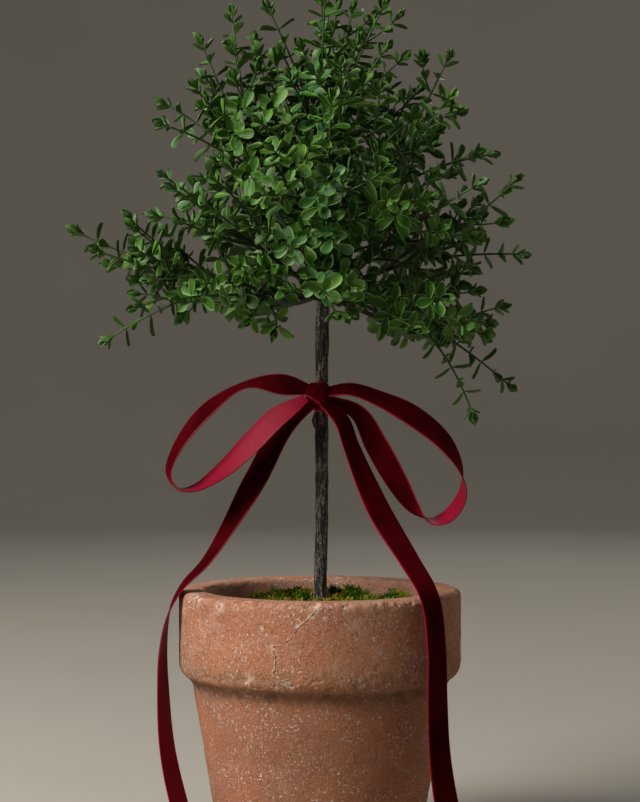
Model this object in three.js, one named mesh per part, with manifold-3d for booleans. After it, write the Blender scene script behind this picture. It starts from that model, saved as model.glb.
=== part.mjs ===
// Potted myrtle topiary: a clay pot filled with earth and moss, one slim upright stem, a loose
// head of leafy sprigs on short boughs, and a velvet ribbon tied round the stem in a bow.
//
// Millimetres, +Z up. The origin is the middle of the pot's flat underside, and -Y is the front.

import * as THREE from 'three';
import { ConvexGeometry } from 'three/addons/geometries/ConvexGeometry.js';
import { mergeVertices } from 'three/addons/utils/BufferGeometryUtils.js';
import Module from 'manifold-3d';

const wasm = await Module();
wasm.setup();

// Driving dimensions

// Clear gap between pieces that rest on each other.
const SEAT_GAP = 0.3;

const POT = {
  height: 145,
  footRadius: 52.6,
  footRound: 3,
  neckRadius: 68.2,
  neckHeight: 93.4,
  rimRadius: 76,
  rimUnderside: { radius: 72.5, height: 99.2 },
  rimBandFoot: 108,
  rimRound: 4,
  mouthRadius: 61.5,
  mouthRound: 3.5,
  boreNeckRadius: 58.5,
  boreFootRadius: 45.2,
  floor: 11,
  roundSteps: 2,
  segments: 36,
};

const EARTH = { top: 127, flatRadius: 54, edgeDrop: 3, segments: 24 };

// The moss is a lopsided mound: it spreads furthest to the right and stops short on the left.
const MOSS = {
  height: 9.5,
  edgeHeight: 3.5,
  radius: 46,
  rightShift: 7,
  seatRadius: 7,
  seatMargin: 1,
  // Shares of the radius and of the rise from edge to top, from the edge inward.
  shoulders: [[0.86, 0.6], [0.62, 1], [0.36, 1]],
  lump: 1.3,
  lumpPitch: 15,
  segments: 22,
};

// The stem leans a little to the right and swells into a rounded head that the boughs leave.
const STEM = {
  footRadius: 5,
  flareHeight: 9,
  lowRadius: 3.45,
  highRadius: 3.8,
  leanStart: 0.2,
  leanEnd: 1.6,
  headHeight: 304,
  headRadius: 6,
  knotHeight: 235.5,
  knotReach: 7,
  knotRise: 1.6,
  roundSteps: 3,
  sides: 10,
};

// Boughs by compass bearing (0 right, 90 back, 180 left, 270 front) and climb in degrees, with
// the distance from the head of the stem to the furthest leaf tip of the sprigs they carry.
const BOUGHS = [
  { name: 'low_right', bearing: 352, climb: -24, reach: 127 },
  { name: 'low_back_right', bearing: 55, climb: -8, reach: 122 },
  { name: 'low_back_left', bearing: 119, climb: -8, reach: 124 },
  { name: 'low_left', bearing: 183, climb: 0, reach: 146 },
  { name: 'low_front_left', bearing: 227, climb: -9, reach: 118 },
  { name: 'low_front', bearing: 270, climb: -14, reach: 106 },
  { name: 'low_front_right', bearing: 313, climb: -11, reach: 114 },
  { name: 'mid_right', bearing: 5, climb: 20, reach: 126 },
  { name: 'mid_back_right', bearing: 76, climb: 27, reach: 130 },
  { name: 'mid_back_left', bearing: 145, climb: 30, reach: 128 },
  { name: 'mid_left', bearing: 210, climb: 30, reach: 120 },
  { name: 'mid_front', bearing: 268, climb: 24, reach: 116 },
  { name: 'mid_front_right', bearing: 321, climb: 27, reach: 122 },
  { name: 'high_right', bearing: 20, climb: 58, reach: 150 },
  { name: 'high_back', bearing: 108, climb: 59, reach: 150 },
  { name: 'high_left', bearing: 185, climb: 62, reach: 163 },
  { name: 'high_front', bearing: 277, climb: 57, reach: 140 },
  { name: 'crown', bearing: 0, climb: 87, reach: 175 },
];

const BOUGH = { reachShare: 0.22, footRadius: 1.5, tipRadius: 1.1, sides: 5, steps: 2 };

// One stem and its side twigs make a mass of sprigs. Leaf pairs are counted from the twig's tip.
const SPRIG = {
  seedsPerMass: 100,
  turnPerTwig: 137.5,
  turnJitter: 40,
  leastSpread: 7,
  mostSpread: 16.5,
  leastReach: 0.8,
  forkStart: 0.06,
  forkRange: 0.36,
  goldenShare: 0.618,
  forkLean: 0.6,
  forkReach: 0.4,
  stemTipShare: 0.8,
  stemRadius: [1.75, 1.1],
  twigRadius: [0.9, 0.8],
  stemSteps: 1,
  twigSteps: 2,
  sides: 4,
  pairSpacing: 17.5,
  stemPairs: 5,
  twigPairs: [3, 3, 3, 3],
  bareShare: 0.05,
  tipInset: 3,
};

const LEAF = {
  length: 21.5,
  width: 11.5,
  thickness: 0.9,
  sink: 0.15,
  edgeLift: 0.25,
  rootVolume: 0.26,
  shoulder: 0.58,
  brow: 1,
  browWidth: 0.45,
  tipShare: 0.72,
  tipAngle: 38,
  angleStep: 10,
  mostAngle: 56,
};

// Space that a mass leaves clear of the border of its own space, the stem and the ribbon.
const CELL_MARGIN = 0.4;
const STEM_MARGIN = 3;
const BOW_SPACE = new THREE.Box3(new THREE.Vector3(-90, -36, 176), new THREE.Vector3(86, 8, 263));

const RIBBON = { width: 15, thickness: 0.9, stepLength: 8 };

const KNOT = {
  centre: new THREE.Vector3(-1, -9.3, 248),
  half: new THREE.Vector3(6.6, 5, 8.2),
  squareness: 0.72,
  segments: 12,
  rings: 8,
};

const BAND = { wall: 1, height: 10, openAngle: 64, segments: 12 };

// Ribbon routes. Each station is x, y, z, the turn of the ribbon about its run in degrees (0 has
// the pile side square to the front, beyond 90 the reverse shows) and the share of its width.
const LEFT_LOOP = [
  [-3, -7.8, 251.5, -35, 0.4],
  [-20, -9.5, 255, -43, 1],
  [-40, -12, 254.3, -75, 1],
  [-61, -15, 240.5, -59, 1],
  [-76, -17.5, 221, -68, 1],
  [-80, -19, 208, -75, 1],
  [-75.5, -20, 200, -88, 1],
  [-66, -20.5, 200, -103, 1],
  [-52, -20, 209, -123, 1],
  [-37, -19, 223.5, -137, 1],
  [-24.5, -17.5, 236, -141, 0.95],
  [-15.5, -16.6, 242.4, -143, 0.7],
  [-7.6, -14.2, 247.6, -148, 0.36],
];

const RIGHT_LOOP = [
  [1, -10.5, 250.5, 38, 0.4],
  [16, -13, 252.3, 50, 0.7],
  [32, -16, 247, 54, 0.95],
  [49, -19, 238.5, 42, 1],
  [65.5, -20.5, 225, 52, 1],
  [74.5, -20, 209.5, 78, 1],
  [75.5, -18, 196, 104, 1],
  [68.5, -15, 185, 112, 1],
  [59.5, -12.5, 182.5, 100, 1],
  [50.5, -10.5, 189, 65, 1],
  [40.5, -8.5, 204, 40, 1],
  [30, -7, 222.5, 36, 1],
  [20.5, -6.5, 239.5, 40, 0.75],
  [2, -7.6, 248, 40, 0.35],
];

const LEFT_TAIL = [
  [-2, -7, 246, -40, 0.4],
  [-18.5, -5, 233, -38, 0.85],
  [-34.5, -8, 204, -37, 1],
  [-47.5, -13.5, 181, -57, 1],
  [-61, -17, 160.5, -73, 1],
  [-72.2, -18.5, 148.6, -80, 1],
  [-78.4, -17, 138, -85, 1],
  [-82, -15, 126.5, -93, 1],
  [-84, -13, 110, -102, 1],
  [-83.5, -12, 87, -110, 1],
  [-81.5, -13, 62, -116, 1],
  [-77.5, -17, 42, -120, 1],
  [-70.5, -24, 20.5, -121, 1],
  [-63.5, -31, 6.5, -121, 1],
];

const RIGHT_TAIL = [
  [1, -12, 246, 35, 0.4],
  [11, -13.5, 236.5, 45, 0.75],
  [16.5, -18, 222, 55, 1],
  [31, -30, 189, 38, 1],
  [46, -46, 164, 48, 1],
  [54.5, -57, 149, 50, 1],
  [57.5, -60, 139, 48, 1],
  [59.5, -61, 118, 48, 1],
  [59.5, -61, 94, 45, 1],
  [60.5, -61, 70, 42, 1],
  [63.5, -62, 46, 36, 1],
  [68.5, -64, 22, 30, 1],
  [74.5, -67, 6.5, 26, 1],
];

const FINISHES = {
  clay: { color: 0xb4643c, roughness: 0.9 },
  earth: { color: 0x2f251d, roughness: 1 },
  moss: { color: 0x6d7340, roughness: 1 },
  bark: { color: 0x4a4038, roughness: 0.85 },
  leaves: { color: 0x54763c, roughness: 0.55 },
  ribbon: { color: 0x6e1418, roughness: 0.8 },
};

const { degToRad, lerp, clamp } = THREE.MathUtils;
const UP = new THREE.Vector3(0, 0, 1);
const DEPTH = new THREE.Vector3(0, 1, 0);
const MERGE_TOLERANCE = 1e-4;
const LEAST_EDGE = 0.0018;
// A direction with more rise than this has no level side of its own.
const NEARLY_UPRIGHT = 0.99;
const LCG = { multiplier: 1664525, step: 1013904223, modulus: 4294967296, spreader: 2654435761 };

const topiary = new THREE.Group();

// Adds one named piece to the model.
function place(name, geometry, finish) {
  const material = new THREE.MeshStandardMaterial({ metalness: 0, ...FINISHES[finish] });
  const mesh = new THREE.Mesh(geometry, material);
  mesh.name = name;
  topiary.add(mesh);
}

// Moves every vertex of a geometry by a function of its place.
function reshape(geometry, move) {
  const position = geometry.attributes.position;
  const vertex = new THREE.Vector3();
  for (let i = 0; i < position.count; i++) {
    vertex.fromBufferAttribute(position, i);
    move(vertex);
    position.setXYZ(i, vertex.x, vertex.y, vertex.z);
  }
  geometry.computeVertexNormals();
  return geometry;
}

// A closed geometry as a solid that can be joined and cut, and back again.
function solidOf(geometry) {
  const bare = geometry.clone();
  bare.deleteAttribute('normal');
  bare.deleteAttribute('uv');
  const merged = mergeVertices(bare, MERGE_TOLERANCE);
  const vertProperties = merged.attributes.position.array;
  const triVerts = new Uint32Array(merged.index.array);
  return new wasm.Manifold(new wasm.Mesh({ numProp: 3, vertProperties, triVerts }));
}

function geometryOf(solid) {
  const { vertProperties, triVerts } = solid.getMesh();
  const geometry = new THREE.BufferGeometry();
  geometry.setAttribute('position', new THREE.BufferAttribute(vertProperties.slice(), 3));
  geometry.setIndex(new THREE.BufferAttribute(triVerts.slice(), 1));
  geometry.computeVertexNormals();
  return geometry;
}

// Length of the shortest edge of a solid's faces.
function shortestEdge(solid) {
  const { vertProperties, triVerts } = solid.getMesh();
  const [start, end] = [new THREE.Vector3(), new THREE.Vector3()];
  let shortest = Infinity;
  for (let i = 0; i < triVerts.length; i++) {
    const next = i % 3 === 2 ? i - 2 : i + 1;
    start.fromArray(vertProperties, 3 * triVerts[i]);
    end.fromArray(vertProperties, 3 * triVerts[next]);
    shortest = Math.min(shortest, start.distanceTo(end));
  }
  return shortest;
}

// A solid with a piece joined on, or unchanged where the seam would leave a sliver.
function joined(solid, piece) {
  const whole = solid.add(piece);
  return shortestEdge(whole) > LEAST_EDGE ? whole : solid;
}

// The main body of a solid, without loose scraps or sealed hollows.
function mainBody(solid) {
  const bodies = solid.decompose();
  return bodies.reduce((main, body) => (body.volume() > main.volume() ? body : main));
}

// Two unit vectors square to a direction and to each other, the first one level.
function crossAxes(direction) {
  const upright = Math.abs(direction.z) > NEARLY_UPRIGHT;
  const level = upright ? new THREE.Vector3(1, 0, 0) : UP.clone().cross(direction);
  level.addScaledVector(direction, -level.dot(direction)).normalize();
  return [level, direction.clone().cross(level)];
}

// A unit vector square to a direction, at a turn from level about it.
function sideways(direction, turn) {
  const [level, upright] = crossAxes(direction);
  return level.multiplyScalar(Math.cos(turn)).addScaledVector(upright, Math.sin(turn));
}

// A limb along a curve: a cylinder whose rings are carried onto the curve. The radius is a
// function of the share of the length, the place on the curve and the way outward there.
function limb(curve, radiusAt, sides, steps) {
  return reshape(new THREE.CylinderGeometry(1, 1, 1, sides, steps), (vertex) => {
    const share = clamp(vertex.y + 0.5, 0, 1);
    const centre = curve.getPointAt(share);
    const outward = sideways(curve.getTangentAt(share), Math.atan2(-vertex.z, vertex.x));
    const radius = Math.hypot(vertex.x, vertex.z) * radiusAt(share, centre, outward);
    vertex.copy(centre).addScaledVector(outward, radius);
  });
}

// Turned about the vertical axis from a profile of radius and height.
function turned(profile, segments) {
  return new THREE.LatheGeometry(profile, segments).rotateX(Math.PI / 2);
}

// Pot and filling

// Radius of the pot's bore at a height above its floor.
function boreRadius(height) {
  if (height < POT.neckHeight) {
    return lerp(POT.boreFootRadius, POT.boreNeckRadius, (height - POT.floor) / (POT.neckHeight - POT.floor));
  }
  const share = (height - POT.neckHeight) / (POT.height - POT.neckHeight);
  return lerp(POT.boreNeckRadius, POT.mouthRadius, share);
}

function potGeometry() {
  const { height, footRadius, footRound, neckRadius, neckHeight, rimRadius, rimRound, floor } = POT;
  const { mouthRadius, mouthRound, rimUnderside, rimBandFoot } = POT;
  const bodyTaper = (neckRadius - footRadius) / neckHeight;
  const profile = new THREE.Path();
  profile.moveTo(0, 0);
  profile.lineTo(footRadius - footRound, 0);
  profile.quadraticCurveTo(footRadius, 0, footRadius + bodyTaper * footRound, footRound);
  profile.lineTo(neckRadius, neckHeight);
  profile.lineTo(rimUnderside.radius, rimUnderside.height);
  profile.quadraticCurveTo(rimRadius, (rimUnderside.height + rimBandFoot) / 2, rimRadius, rimBandFoot);
  profile.lineTo(rimRadius, height - rimRound);
  profile.quadraticCurveTo(rimRadius, height, rimRadius - rimRound, height);
  profile.lineTo(mouthRadius + mouthRound, height);
  profile.quadraticCurveTo(mouthRadius, height, boreRadius(height - mouthRound), height - mouthRound);
  profile.lineTo(boreRadius(neckHeight), neckHeight);
  profile.lineTo(boreRadius(floor), floor);
  profile.lineTo(0, floor);
  return turned(profile.getPoints(POT.roundSteps), POT.segments);
}

function earthGeometry() {
  const foot = POT.floor + SEAT_GAP;
  const edge = EARTH.top - EARTH.edgeDrop;
  const profile = [
    [0, foot],
    [boreRadius(foot) - SEAT_GAP, foot],
    [boreRadius(POT.neckHeight) - SEAT_GAP, POT.neckHeight],
    [boreRadius(edge) - SEAT_GAP, edge],
    [EARTH.flatRadius, EARTH.top],
    [0, EARTH.top],
  ];
  return turned(profile.map(([radius, height]) => new THREE.Vector2(radius, height)), EARTH.segments);
}

const MOSS_FOOT = EARTH.top + SEAT_GAP;
const MOSS_TOP = MOSS_FOOT + MOSS.height;

function mossGeometry() {
  const { radius, seatRadius, edgeHeight, height, lump, lumpPitch, rightShift } = MOSS;
  const profile = [
    [0, 0],
    [radius, 0],
    [radius, edgeHeight],
    ...MOSS.shoulders.map(([share, rise]) => [radius * share, lerp(edgeHeight, height, rise)]),
    [seatRadius, height],
    [0, height],
  ];
  const mound = turned(profile.map(([r, z]) => new THREE.Vector2(r, z)), MOSS.segments);
  return reshape(mound, (vertex) => {
    const fromStem = Math.hypot(vertex.x, vertex.y);
    if (vertex.z > edgeHeight / 2 && fromStem > seatRadius + MOSS.seatMargin) {
      vertex.z += lump * Math.sin(vertex.x / lumpPitch * Math.PI) * Math.cos(vertex.y / lumpPitch * Math.PI);
    }
    vertex.x += rightShift * (fromStem / radius);
    vertex.z += MOSS_FOOT;
  });
}

// Stem and boughs

const STEM_FOOT = MOSS_TOP + SEAT_GAP;
const HEAD = new THREE.Vector3(STEM.leanEnd, 0, STEM.headHeight);

// The middle of the stem at a height.
function stemAxis(height) {
  const share = (height - STEM_FOOT) / (STEM.headHeight - STEM_FOOT);
  return new THREE.Vector3(lerp(STEM.leanStart, STEM.leanEnd, share), 0, height);
}

// The shaft's radius at a height, between the flare at the foot and the round head.
function shaftRadius(height) {
  const share = (height - STEM_FOOT) / (STEM.headHeight - STEM_FOOT);
  return lerp(STEM.lowRadius, STEM.highRadius, share);
}

// The stem is turned, then leaned, with its knot drawn out to the left.
function stemGeometry() {
  const { footRadius, flareHeight, lowRadius, highRadius } = STEM;
  const { headHeight, headRadius, knotHeight, knotReach } = STEM;
  const profile = new THREE.Path();
  profile.moveTo(0, STEM_FOOT);
  profile.lineTo(footRadius, STEM_FOOT);
  profile.quadraticCurveTo(lowRadius, STEM_FOOT, lowRadius, STEM_FOOT + flareHeight);
  for (const share of [-1, -0.5, 0, 0.5, 1]) {
    const height = knotHeight + share * knotReach;
    profile.lineTo(shaftRadius(height), height);
  }
  profile.absarc(0, headHeight, headRadius, -Math.acos(highRadius / headRadius), Math.PI / 2, false);
  return reshape(turned(profile.getPoints(STEM.roundSteps), STEM.sides), (vertex) => {
    const fromAxis = Math.hypot(vertex.x, vertex.y);
    const nearKnot = Math.max(0, 1 - Math.abs(vertex.z - knotHeight) / knotReach);
    const leftward = Math.max(0, -vertex.x / Math.max(fromAxis, MERGE_TOLERANCE));
    vertex.x += stemAxis(vertex.z).x - STEM.knotRise * nearKnot * leftward;
  });
}

// Unit vector for a bearing and a climb in degrees.
function heading(bearing, climb) {
  const [turn, lift] = [degToRad(bearing), degToRad(climb)];
  return new THREE.Vector3(Math.cos(turn) * Math.cos(lift), Math.sin(turn) * Math.cos(lift), Math.sin(lift));
}

const HEADINGS = BOUGHS.map(({ bearing, climb }) => heading(bearing, climb));

// A point at a distance from the head of the stem.
function fromHead(direction, distance) {
  return HEAD.clone().addScaledVector(direction, distance);
}

function boughEnd(index) {
  return BOUGHS[index].reach * BOUGH.reachShare;
}

function boughGeometry(index) {
  const foot = fromHead(HEADINGS[index], STEM.headRadius + SEAT_GAP);
  const tip = fromHead(HEADINGS[index], boughEnd(index));
  const taper = (share) => lerp(BOUGH.footRadius, BOUGH.tipRadius, share);
  return limb(new THREE.LineCurve3(foot, tip), taper, BOUGH.sides, BOUGH.steps);
}

// Sprigs and leaves

// Seeded draws from 0 to 1.
function drawsFrom(seed) {
  let state = (seed * LCG.spreader) % LCG.modulus;
  return () => {
    state = (state * LCG.multiplier + LCG.step) % LCG.modulus;
    return state / LCG.modulus;
  };
}

// Each mass keeps to the cone of directions nearest its own bough, clear of stem and bow.
function inOwnSpace(index, point, margin) {
  const offset = point.clone().sub(HEAD);
  const own = HEADINGS[index];
  const inCone = HEADINGS.every((other, i) => (
    i === index || offset.dot(own.clone().sub(other).normalize()) > margin
  ));
  const stemClear = Math.hypot(point.x - STEM.leanEnd, point.y) > STEM.highRadius + STEM_MARGIN;
  return inCone && (offset.z > 0 || stemClear) && !BOW_SPACE.containsPoint(point);
}

// The line of a mass's stem, and the curve of one of its side twigs.
function stemCurve(index) {
  const tipLeaf = LEAF.length * LEAF.tipShare * SPRIG.stemTipShare;
  const foot = fromHead(HEADINGS[index], boughEnd(index) + SEAT_GAP);
  return new THREE.LineCurve3(foot, fromHead(HEADINGS[index], BOUGHS[index].reach - tipLeaf));
}

function twigCurve(index, twig, stem) {
  const draw = drawsFrom(SPRIG.seedsPerMass * (index + 1) + twig + 1);
  const fork = SPRIG.forkStart + SPRIG.forkRange * ((twig * SPRIG.goldenShare) % 1);
  const turn = SPRIG.turnPerTwig * twig + 360 * ((index * SPRIG.goldenShare) % 1) + SPRIG.turnJitter * draw();
  const spread = degToRad(lerp(SPRIG.leastSpread, SPRIG.mostSpread, draw()));
  const reach = BOUGHS[index].reach * lerp(SPRIG.leastReach, 1, draw()) - LEAF.length * LEAF.tipShare;
  const own = HEADINGS[index];
  const aside = sideways(own, degToRad(turn));
  const direction = own.clone().multiplyScalar(Math.cos(spread)).addScaledVector(aside, Math.sin(spread));
  const foot = stem.getPoint(fork);
  const tip = fromHead(direction, reach);
  const lean = own.clone().addScaledVector(aside, SPRIG.forkLean);
  const bend = foot.clone().addScaledVector(lean, SPRIG.forkReach * foot.distanceTo(tip));
  return new THREE.QuadraticBezierCurve3(foot, bend, tip);
}

// A leaf of eight faces along +Y from its root: a blunt, widening outline with a raised midrib.
function leafGeometry(scale) {
  const { length, width, thickness, sink, shoulder, brow, browWidth } = LEAF;
  const half = width / 2;
  const lift = thickness * LEAF.edgeLift;
  const outline = [
    new THREE.Vector3(0, 0, lift),
    new THREE.Vector3(half, shoulder * length, 0),
    new THREE.Vector3(half * browWidth, brow * length, lift),
    new THREE.Vector3(-half * browWidth, brow * length, lift),
    new THREE.Vector3(-half, shoulder * length, 0),
    new THREE.Vector3(0, shoulder * length, thickness),
  ];
  return new ConvexGeometry(outline).scale(scale, scale, 1).translate(0, -sink, 0);
}

// Leaves in crossed pairs, counted from the tip of a twig, on the flats of its square wood.
function twigLeaves(curve, pairs) {
  const leaves = [];
  const length = curve.getLength();
  for (let pair = 0; pair < pairs; pair++) {
    const share = 1 - (SPRIG.tipInset + pair * SPRIG.pairSpacing) / length;
    if (share < SPRIG.bareShare) {
      break;
    }
    const foot = curve.getPointAt(share);
    const along = curve.getTangentAt(share);
    const angle = degToRad(Math.min(LEAF.tipAngle + pair * LEAF.angleStep, LEAF.mostAngle));
    const scale = pair === 0 ? LEAF.tipShare : 1;
    for (let side = 0; side < 2; side++) {
      const outward = sideways(along, Math.PI / 4 + pair * Math.PI / 2 + side * Math.PI);
      const blade = along.clone().multiplyScalar(Math.cos(angle)).addScaledVector(outward, Math.sin(angle));
      const across = outward.clone().cross(along);
      const basis = new THREE.Matrix4().makeBasis(across, blade, across.clone().cross(blade));
      leaves.push(leafGeometry(scale).applyMatrix4(basis.setPosition(foot)));
    }
  }
  return leaves;
}

// True where every vertex of a geometry is in the mass's own space.
function fits(index, geometry) {
  const position = geometry.attributes.position;
  const vertex = new THREE.Vector3();
  for (let i = 0; i < position.count; i++) {
    if (!inOwnSpace(index, vertex.fromBufferAttribute(position, i), CELL_MARGIN)) {
      return false;
    }
  }
  return true;
}

// The wood of a stem or twig, tapering between two radii.
function woodGeometry(curve, [footRadius, tipRadius], steps) {
  return limb(curve, (share) => lerp(footRadius, tipRadius, share), SPRIG.sides, steps);
}

// A mass of sprigs: the wood is joined first, then each leaf that stays in the mass's own space
// and meets nothing there but the twig that its root is sunk in.
function massGeometry(index) {
  const stem = stemCurve(index);
  let mass = solidOf(woodGeometry(stem, SPRIG.stemRadius, SPRIG.stemSteps));
  const leaves = twigLeaves(stem, SPRIG.stemPairs);
  SPRIG.twigPairs.forEach((pairs, twig) => {
    const curve = twigCurve(index, twig, stem);
    const wood = woodGeometry(curve, SPRIG.twigRadius, SPRIG.twigSteps);
    const grown = fits(index, wood) ? joined(mass, solidOf(wood)) : mass;
    if (grown !== mass) {
      mass = grown;
      leaves.push(...twigLeaves(curve, pairs));
    }
  });
  for (const leaf of leaves.filter((blade) => fits(index, blade)).map(solidOf)) {
    if (mass.intersect(leaf).volume() < LEAF.rootVolume) {
      mass = joined(mass, leaf);
    }
  }
  return geometryOf(mainBody(mass));
}

// Ribbon

// A length of ribbon between two shares of a route.
function ribbonGeometry(route, from, to) {
  const line = new THREE.CatmullRomCurve3(route.map(([x, y, z]) => new THREE.Vector3(x, y, z)));
  const dressing = new THREE.SplineCurve(route.map(([, , , turn, share]) => new THREE.Vector2(turn, share)));
  const steps = Math.ceil(line.getLength() * (to - from) / RIBBON.stepLength);
  return reshape(new THREE.BoxGeometry(1, 1, 1, 1, steps, 1), (vertex) => {
    const share = lerp(from, to, clamp(vertex.y + 0.5, 0, 1));
    const run = line.getTangent(share);
    const depth = DEPTH.clone().addScaledVector(run, -run.y).normalize();
    const { x: turn, y: width } = dressing.getPoint(share);
    const across = run.clone().cross(depth).multiplyScalar(Math.cos(degToRad(turn)));
    across.addScaledVector(depth, Math.sin(degToRad(turn)));
    const face = across.clone().cross(run);
    const [sideways, outward] = [vertex.x * RIBBON.width * width, vertex.z * RIBBON.thickness];
    vertex.copy(line.getPoint(share)).addScaledVector(across, sideways).addScaledVector(face, outward);
  });
}

// The knot is a rounded block, made a little larger where it trims the ribbon that leaves it.
function knotGeometry(growth) {
  return reshape(new THREE.SphereGeometry(1, KNOT.segments, KNOT.rings), (vertex) => {
    for (const axis of ['x', 'y', 'z']) {
      const value = vertex[axis];
      const squared = Math.sign(value) * Math.abs(value) ** KNOT.squareness;
      vertex[axis] = KNOT.centre[axis] + squared * (KNOT.half[axis] + growth);
    }
  });
}

function bandGeometry() {
  const centre = stemAxis(KNOT.centre.z);
  const inner = shaftRadius(KNOT.centre.z) + SEAT_GAP;
  const outer = inner + BAND.wall;
  const front = degToRad(270);
  const gap = degToRad(BAND.openAngle / 2);
  const outline = new THREE.Shape();
  outline.absarc(0, 0, outer, front + gap, front - gap + 2 * Math.PI, false);
  outline.absarc(0, 0, inner, front - gap + 2 * Math.PI, front + gap, true);
  const settings = { depth: BAND.height, bevelEnabled: false, curveSegments: BAND.segments };
  return new THREE.ExtrudeGeometry(outline, settings)
    .translate(centre.x, centre.y, centre.z - BAND.height / 2);
}

// Share of a loop's route where its upper and lower runs part, at the outer bend.
const BEND_SHARE = 0.5;
const BEND_GAP = 0.001;

function placeRibbon() {
  const trimmer = solidOf(knotGeometry(SEAT_GAP));
  const trimmed = (geometry) => geometryOf(mainBody(solidOf(geometry).subtract(trimmer)));
  place('ribbon_knot', knotGeometry(0), 'ribbon');
  place('ribbon_band', trimmed(bandGeometry()), 'ribbon');
  for (const [side, route] of [['left', LEFT_LOOP], ['right', RIGHT_LOOP]]) {
    const upper = ribbonGeometry(route, 0, BEND_SHARE - BEND_GAP);
    const lower = ribbonGeometry(route, BEND_SHARE + BEND_GAP, 1);
    place(`ribbon_loop_${side}_upper`, trimmed(upper), 'ribbon');
    place(`ribbon_loop_${side}_lower`, trimmed(lower), 'ribbon');
  }
  place('ribbon_tail_left', trimmed(ribbonGeometry(LEFT_TAIL, 0, 1)), 'ribbon');
  place('ribbon_tail_right', trimmed(ribbonGeometry(RIGHT_TAIL, 0, 1)), 'ribbon');
}

place('pot', potGeometry(), 'clay');
place('earth', earthGeometry(), 'earth');
place('moss', mossGeometry(), 'moss');
place('stem', stemGeometry(), 'bark');
BOUGHS.forEach(({ name }, index) => {
  place(`bough_${name}`, boughGeometry(index), 'bark');
  place(`sprigs_${name}`, massGeometry(index), 'leaves');
});
placeRibbon();

export default topiary;
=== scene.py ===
"""Potted myrtle topiary: a worn clay pot, moss, a barked stem, leafy sprigs and a velvet bow."""

import math

import bpy
import numpy as np
from bpy.props import FloatProperty, FloatVectorProperty, IntProperty, PointerProperty
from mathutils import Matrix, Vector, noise


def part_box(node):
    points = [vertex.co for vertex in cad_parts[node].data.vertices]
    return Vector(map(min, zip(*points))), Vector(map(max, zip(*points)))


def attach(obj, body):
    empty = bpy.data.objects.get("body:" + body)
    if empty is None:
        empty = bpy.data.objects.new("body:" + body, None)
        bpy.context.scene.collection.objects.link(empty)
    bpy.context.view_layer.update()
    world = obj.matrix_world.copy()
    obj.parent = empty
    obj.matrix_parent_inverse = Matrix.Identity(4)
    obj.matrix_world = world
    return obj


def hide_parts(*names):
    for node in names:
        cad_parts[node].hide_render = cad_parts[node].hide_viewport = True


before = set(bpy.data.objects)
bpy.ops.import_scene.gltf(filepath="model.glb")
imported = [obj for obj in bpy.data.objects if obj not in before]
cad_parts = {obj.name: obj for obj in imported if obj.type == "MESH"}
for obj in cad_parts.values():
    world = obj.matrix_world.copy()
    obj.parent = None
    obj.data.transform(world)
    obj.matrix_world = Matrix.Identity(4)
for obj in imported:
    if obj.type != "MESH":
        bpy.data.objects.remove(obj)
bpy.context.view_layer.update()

bl_info = {
    "name": "Potted Myrtle Topiary",
    "version": (1, 0, 0),
    "blender": (4, 5, 0),
    "location": "View3D > Sidebar > Topiary",
    "description": "Dresses the solids of a potted myrtle topiary with clay, moss, bark, leaves and ribbon",
    "category": "Object",
}

# Sizes that the solids settle, in metres
MM = 0.001
POT_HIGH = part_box("pot")[1]
EARTH_LOW, EARTH_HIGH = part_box("earth")
MOSS_LOW, MOSS_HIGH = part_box("moss")
MOSS_MIDDLE = (MOSS_LOW.x + MOSS_HIGH.x) / 2
MOSS_RADIUS = (MOSS_HIGH.x - MOSS_LOW.x) / 2
STEM_LOW, STEM_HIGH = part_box("stem")
KNOT_LOW, KNOT_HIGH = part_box("ribbon_knot")
BAND_LOW, BAND_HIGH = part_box("ribbon_band")
BOUGH_NODES = sorted(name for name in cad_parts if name.startswith("bough_"))
SPRIG_NODES = sorted(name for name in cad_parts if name.startswith("sprigs_"))
HEAD_RADIUS = 6.0 * MM
HEAD = np.array([1.6 * MM, 0.0, STEM_HIGH.z - HEAD_RADIUS])
GOLDEN_SHARE = 0.618
GOLDEN_ANGLE = 137.5

# Boughs of the head in the order of the solids, in a low, a middle and a high ring and one at the crown:
# bearing and climb in degrees and reach in millimetres
BOUGHS = [
    (352, -24, 127), (55, -8, 122), (119, -8, 124), (183, 0, 146), (227, -9, 118), (270, -14, 106),
    (313, -11, 114),
    (5, 20, 126), (76, 27, 130), (145, 30, 128), (210, 30, 120), (268, 24, 116), (321, 27, 122),
    (20, 58, 150), (108, 59, 150), (185, 62, 163), (277, 57, 140),
    (0, 87, 175),
]

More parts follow.
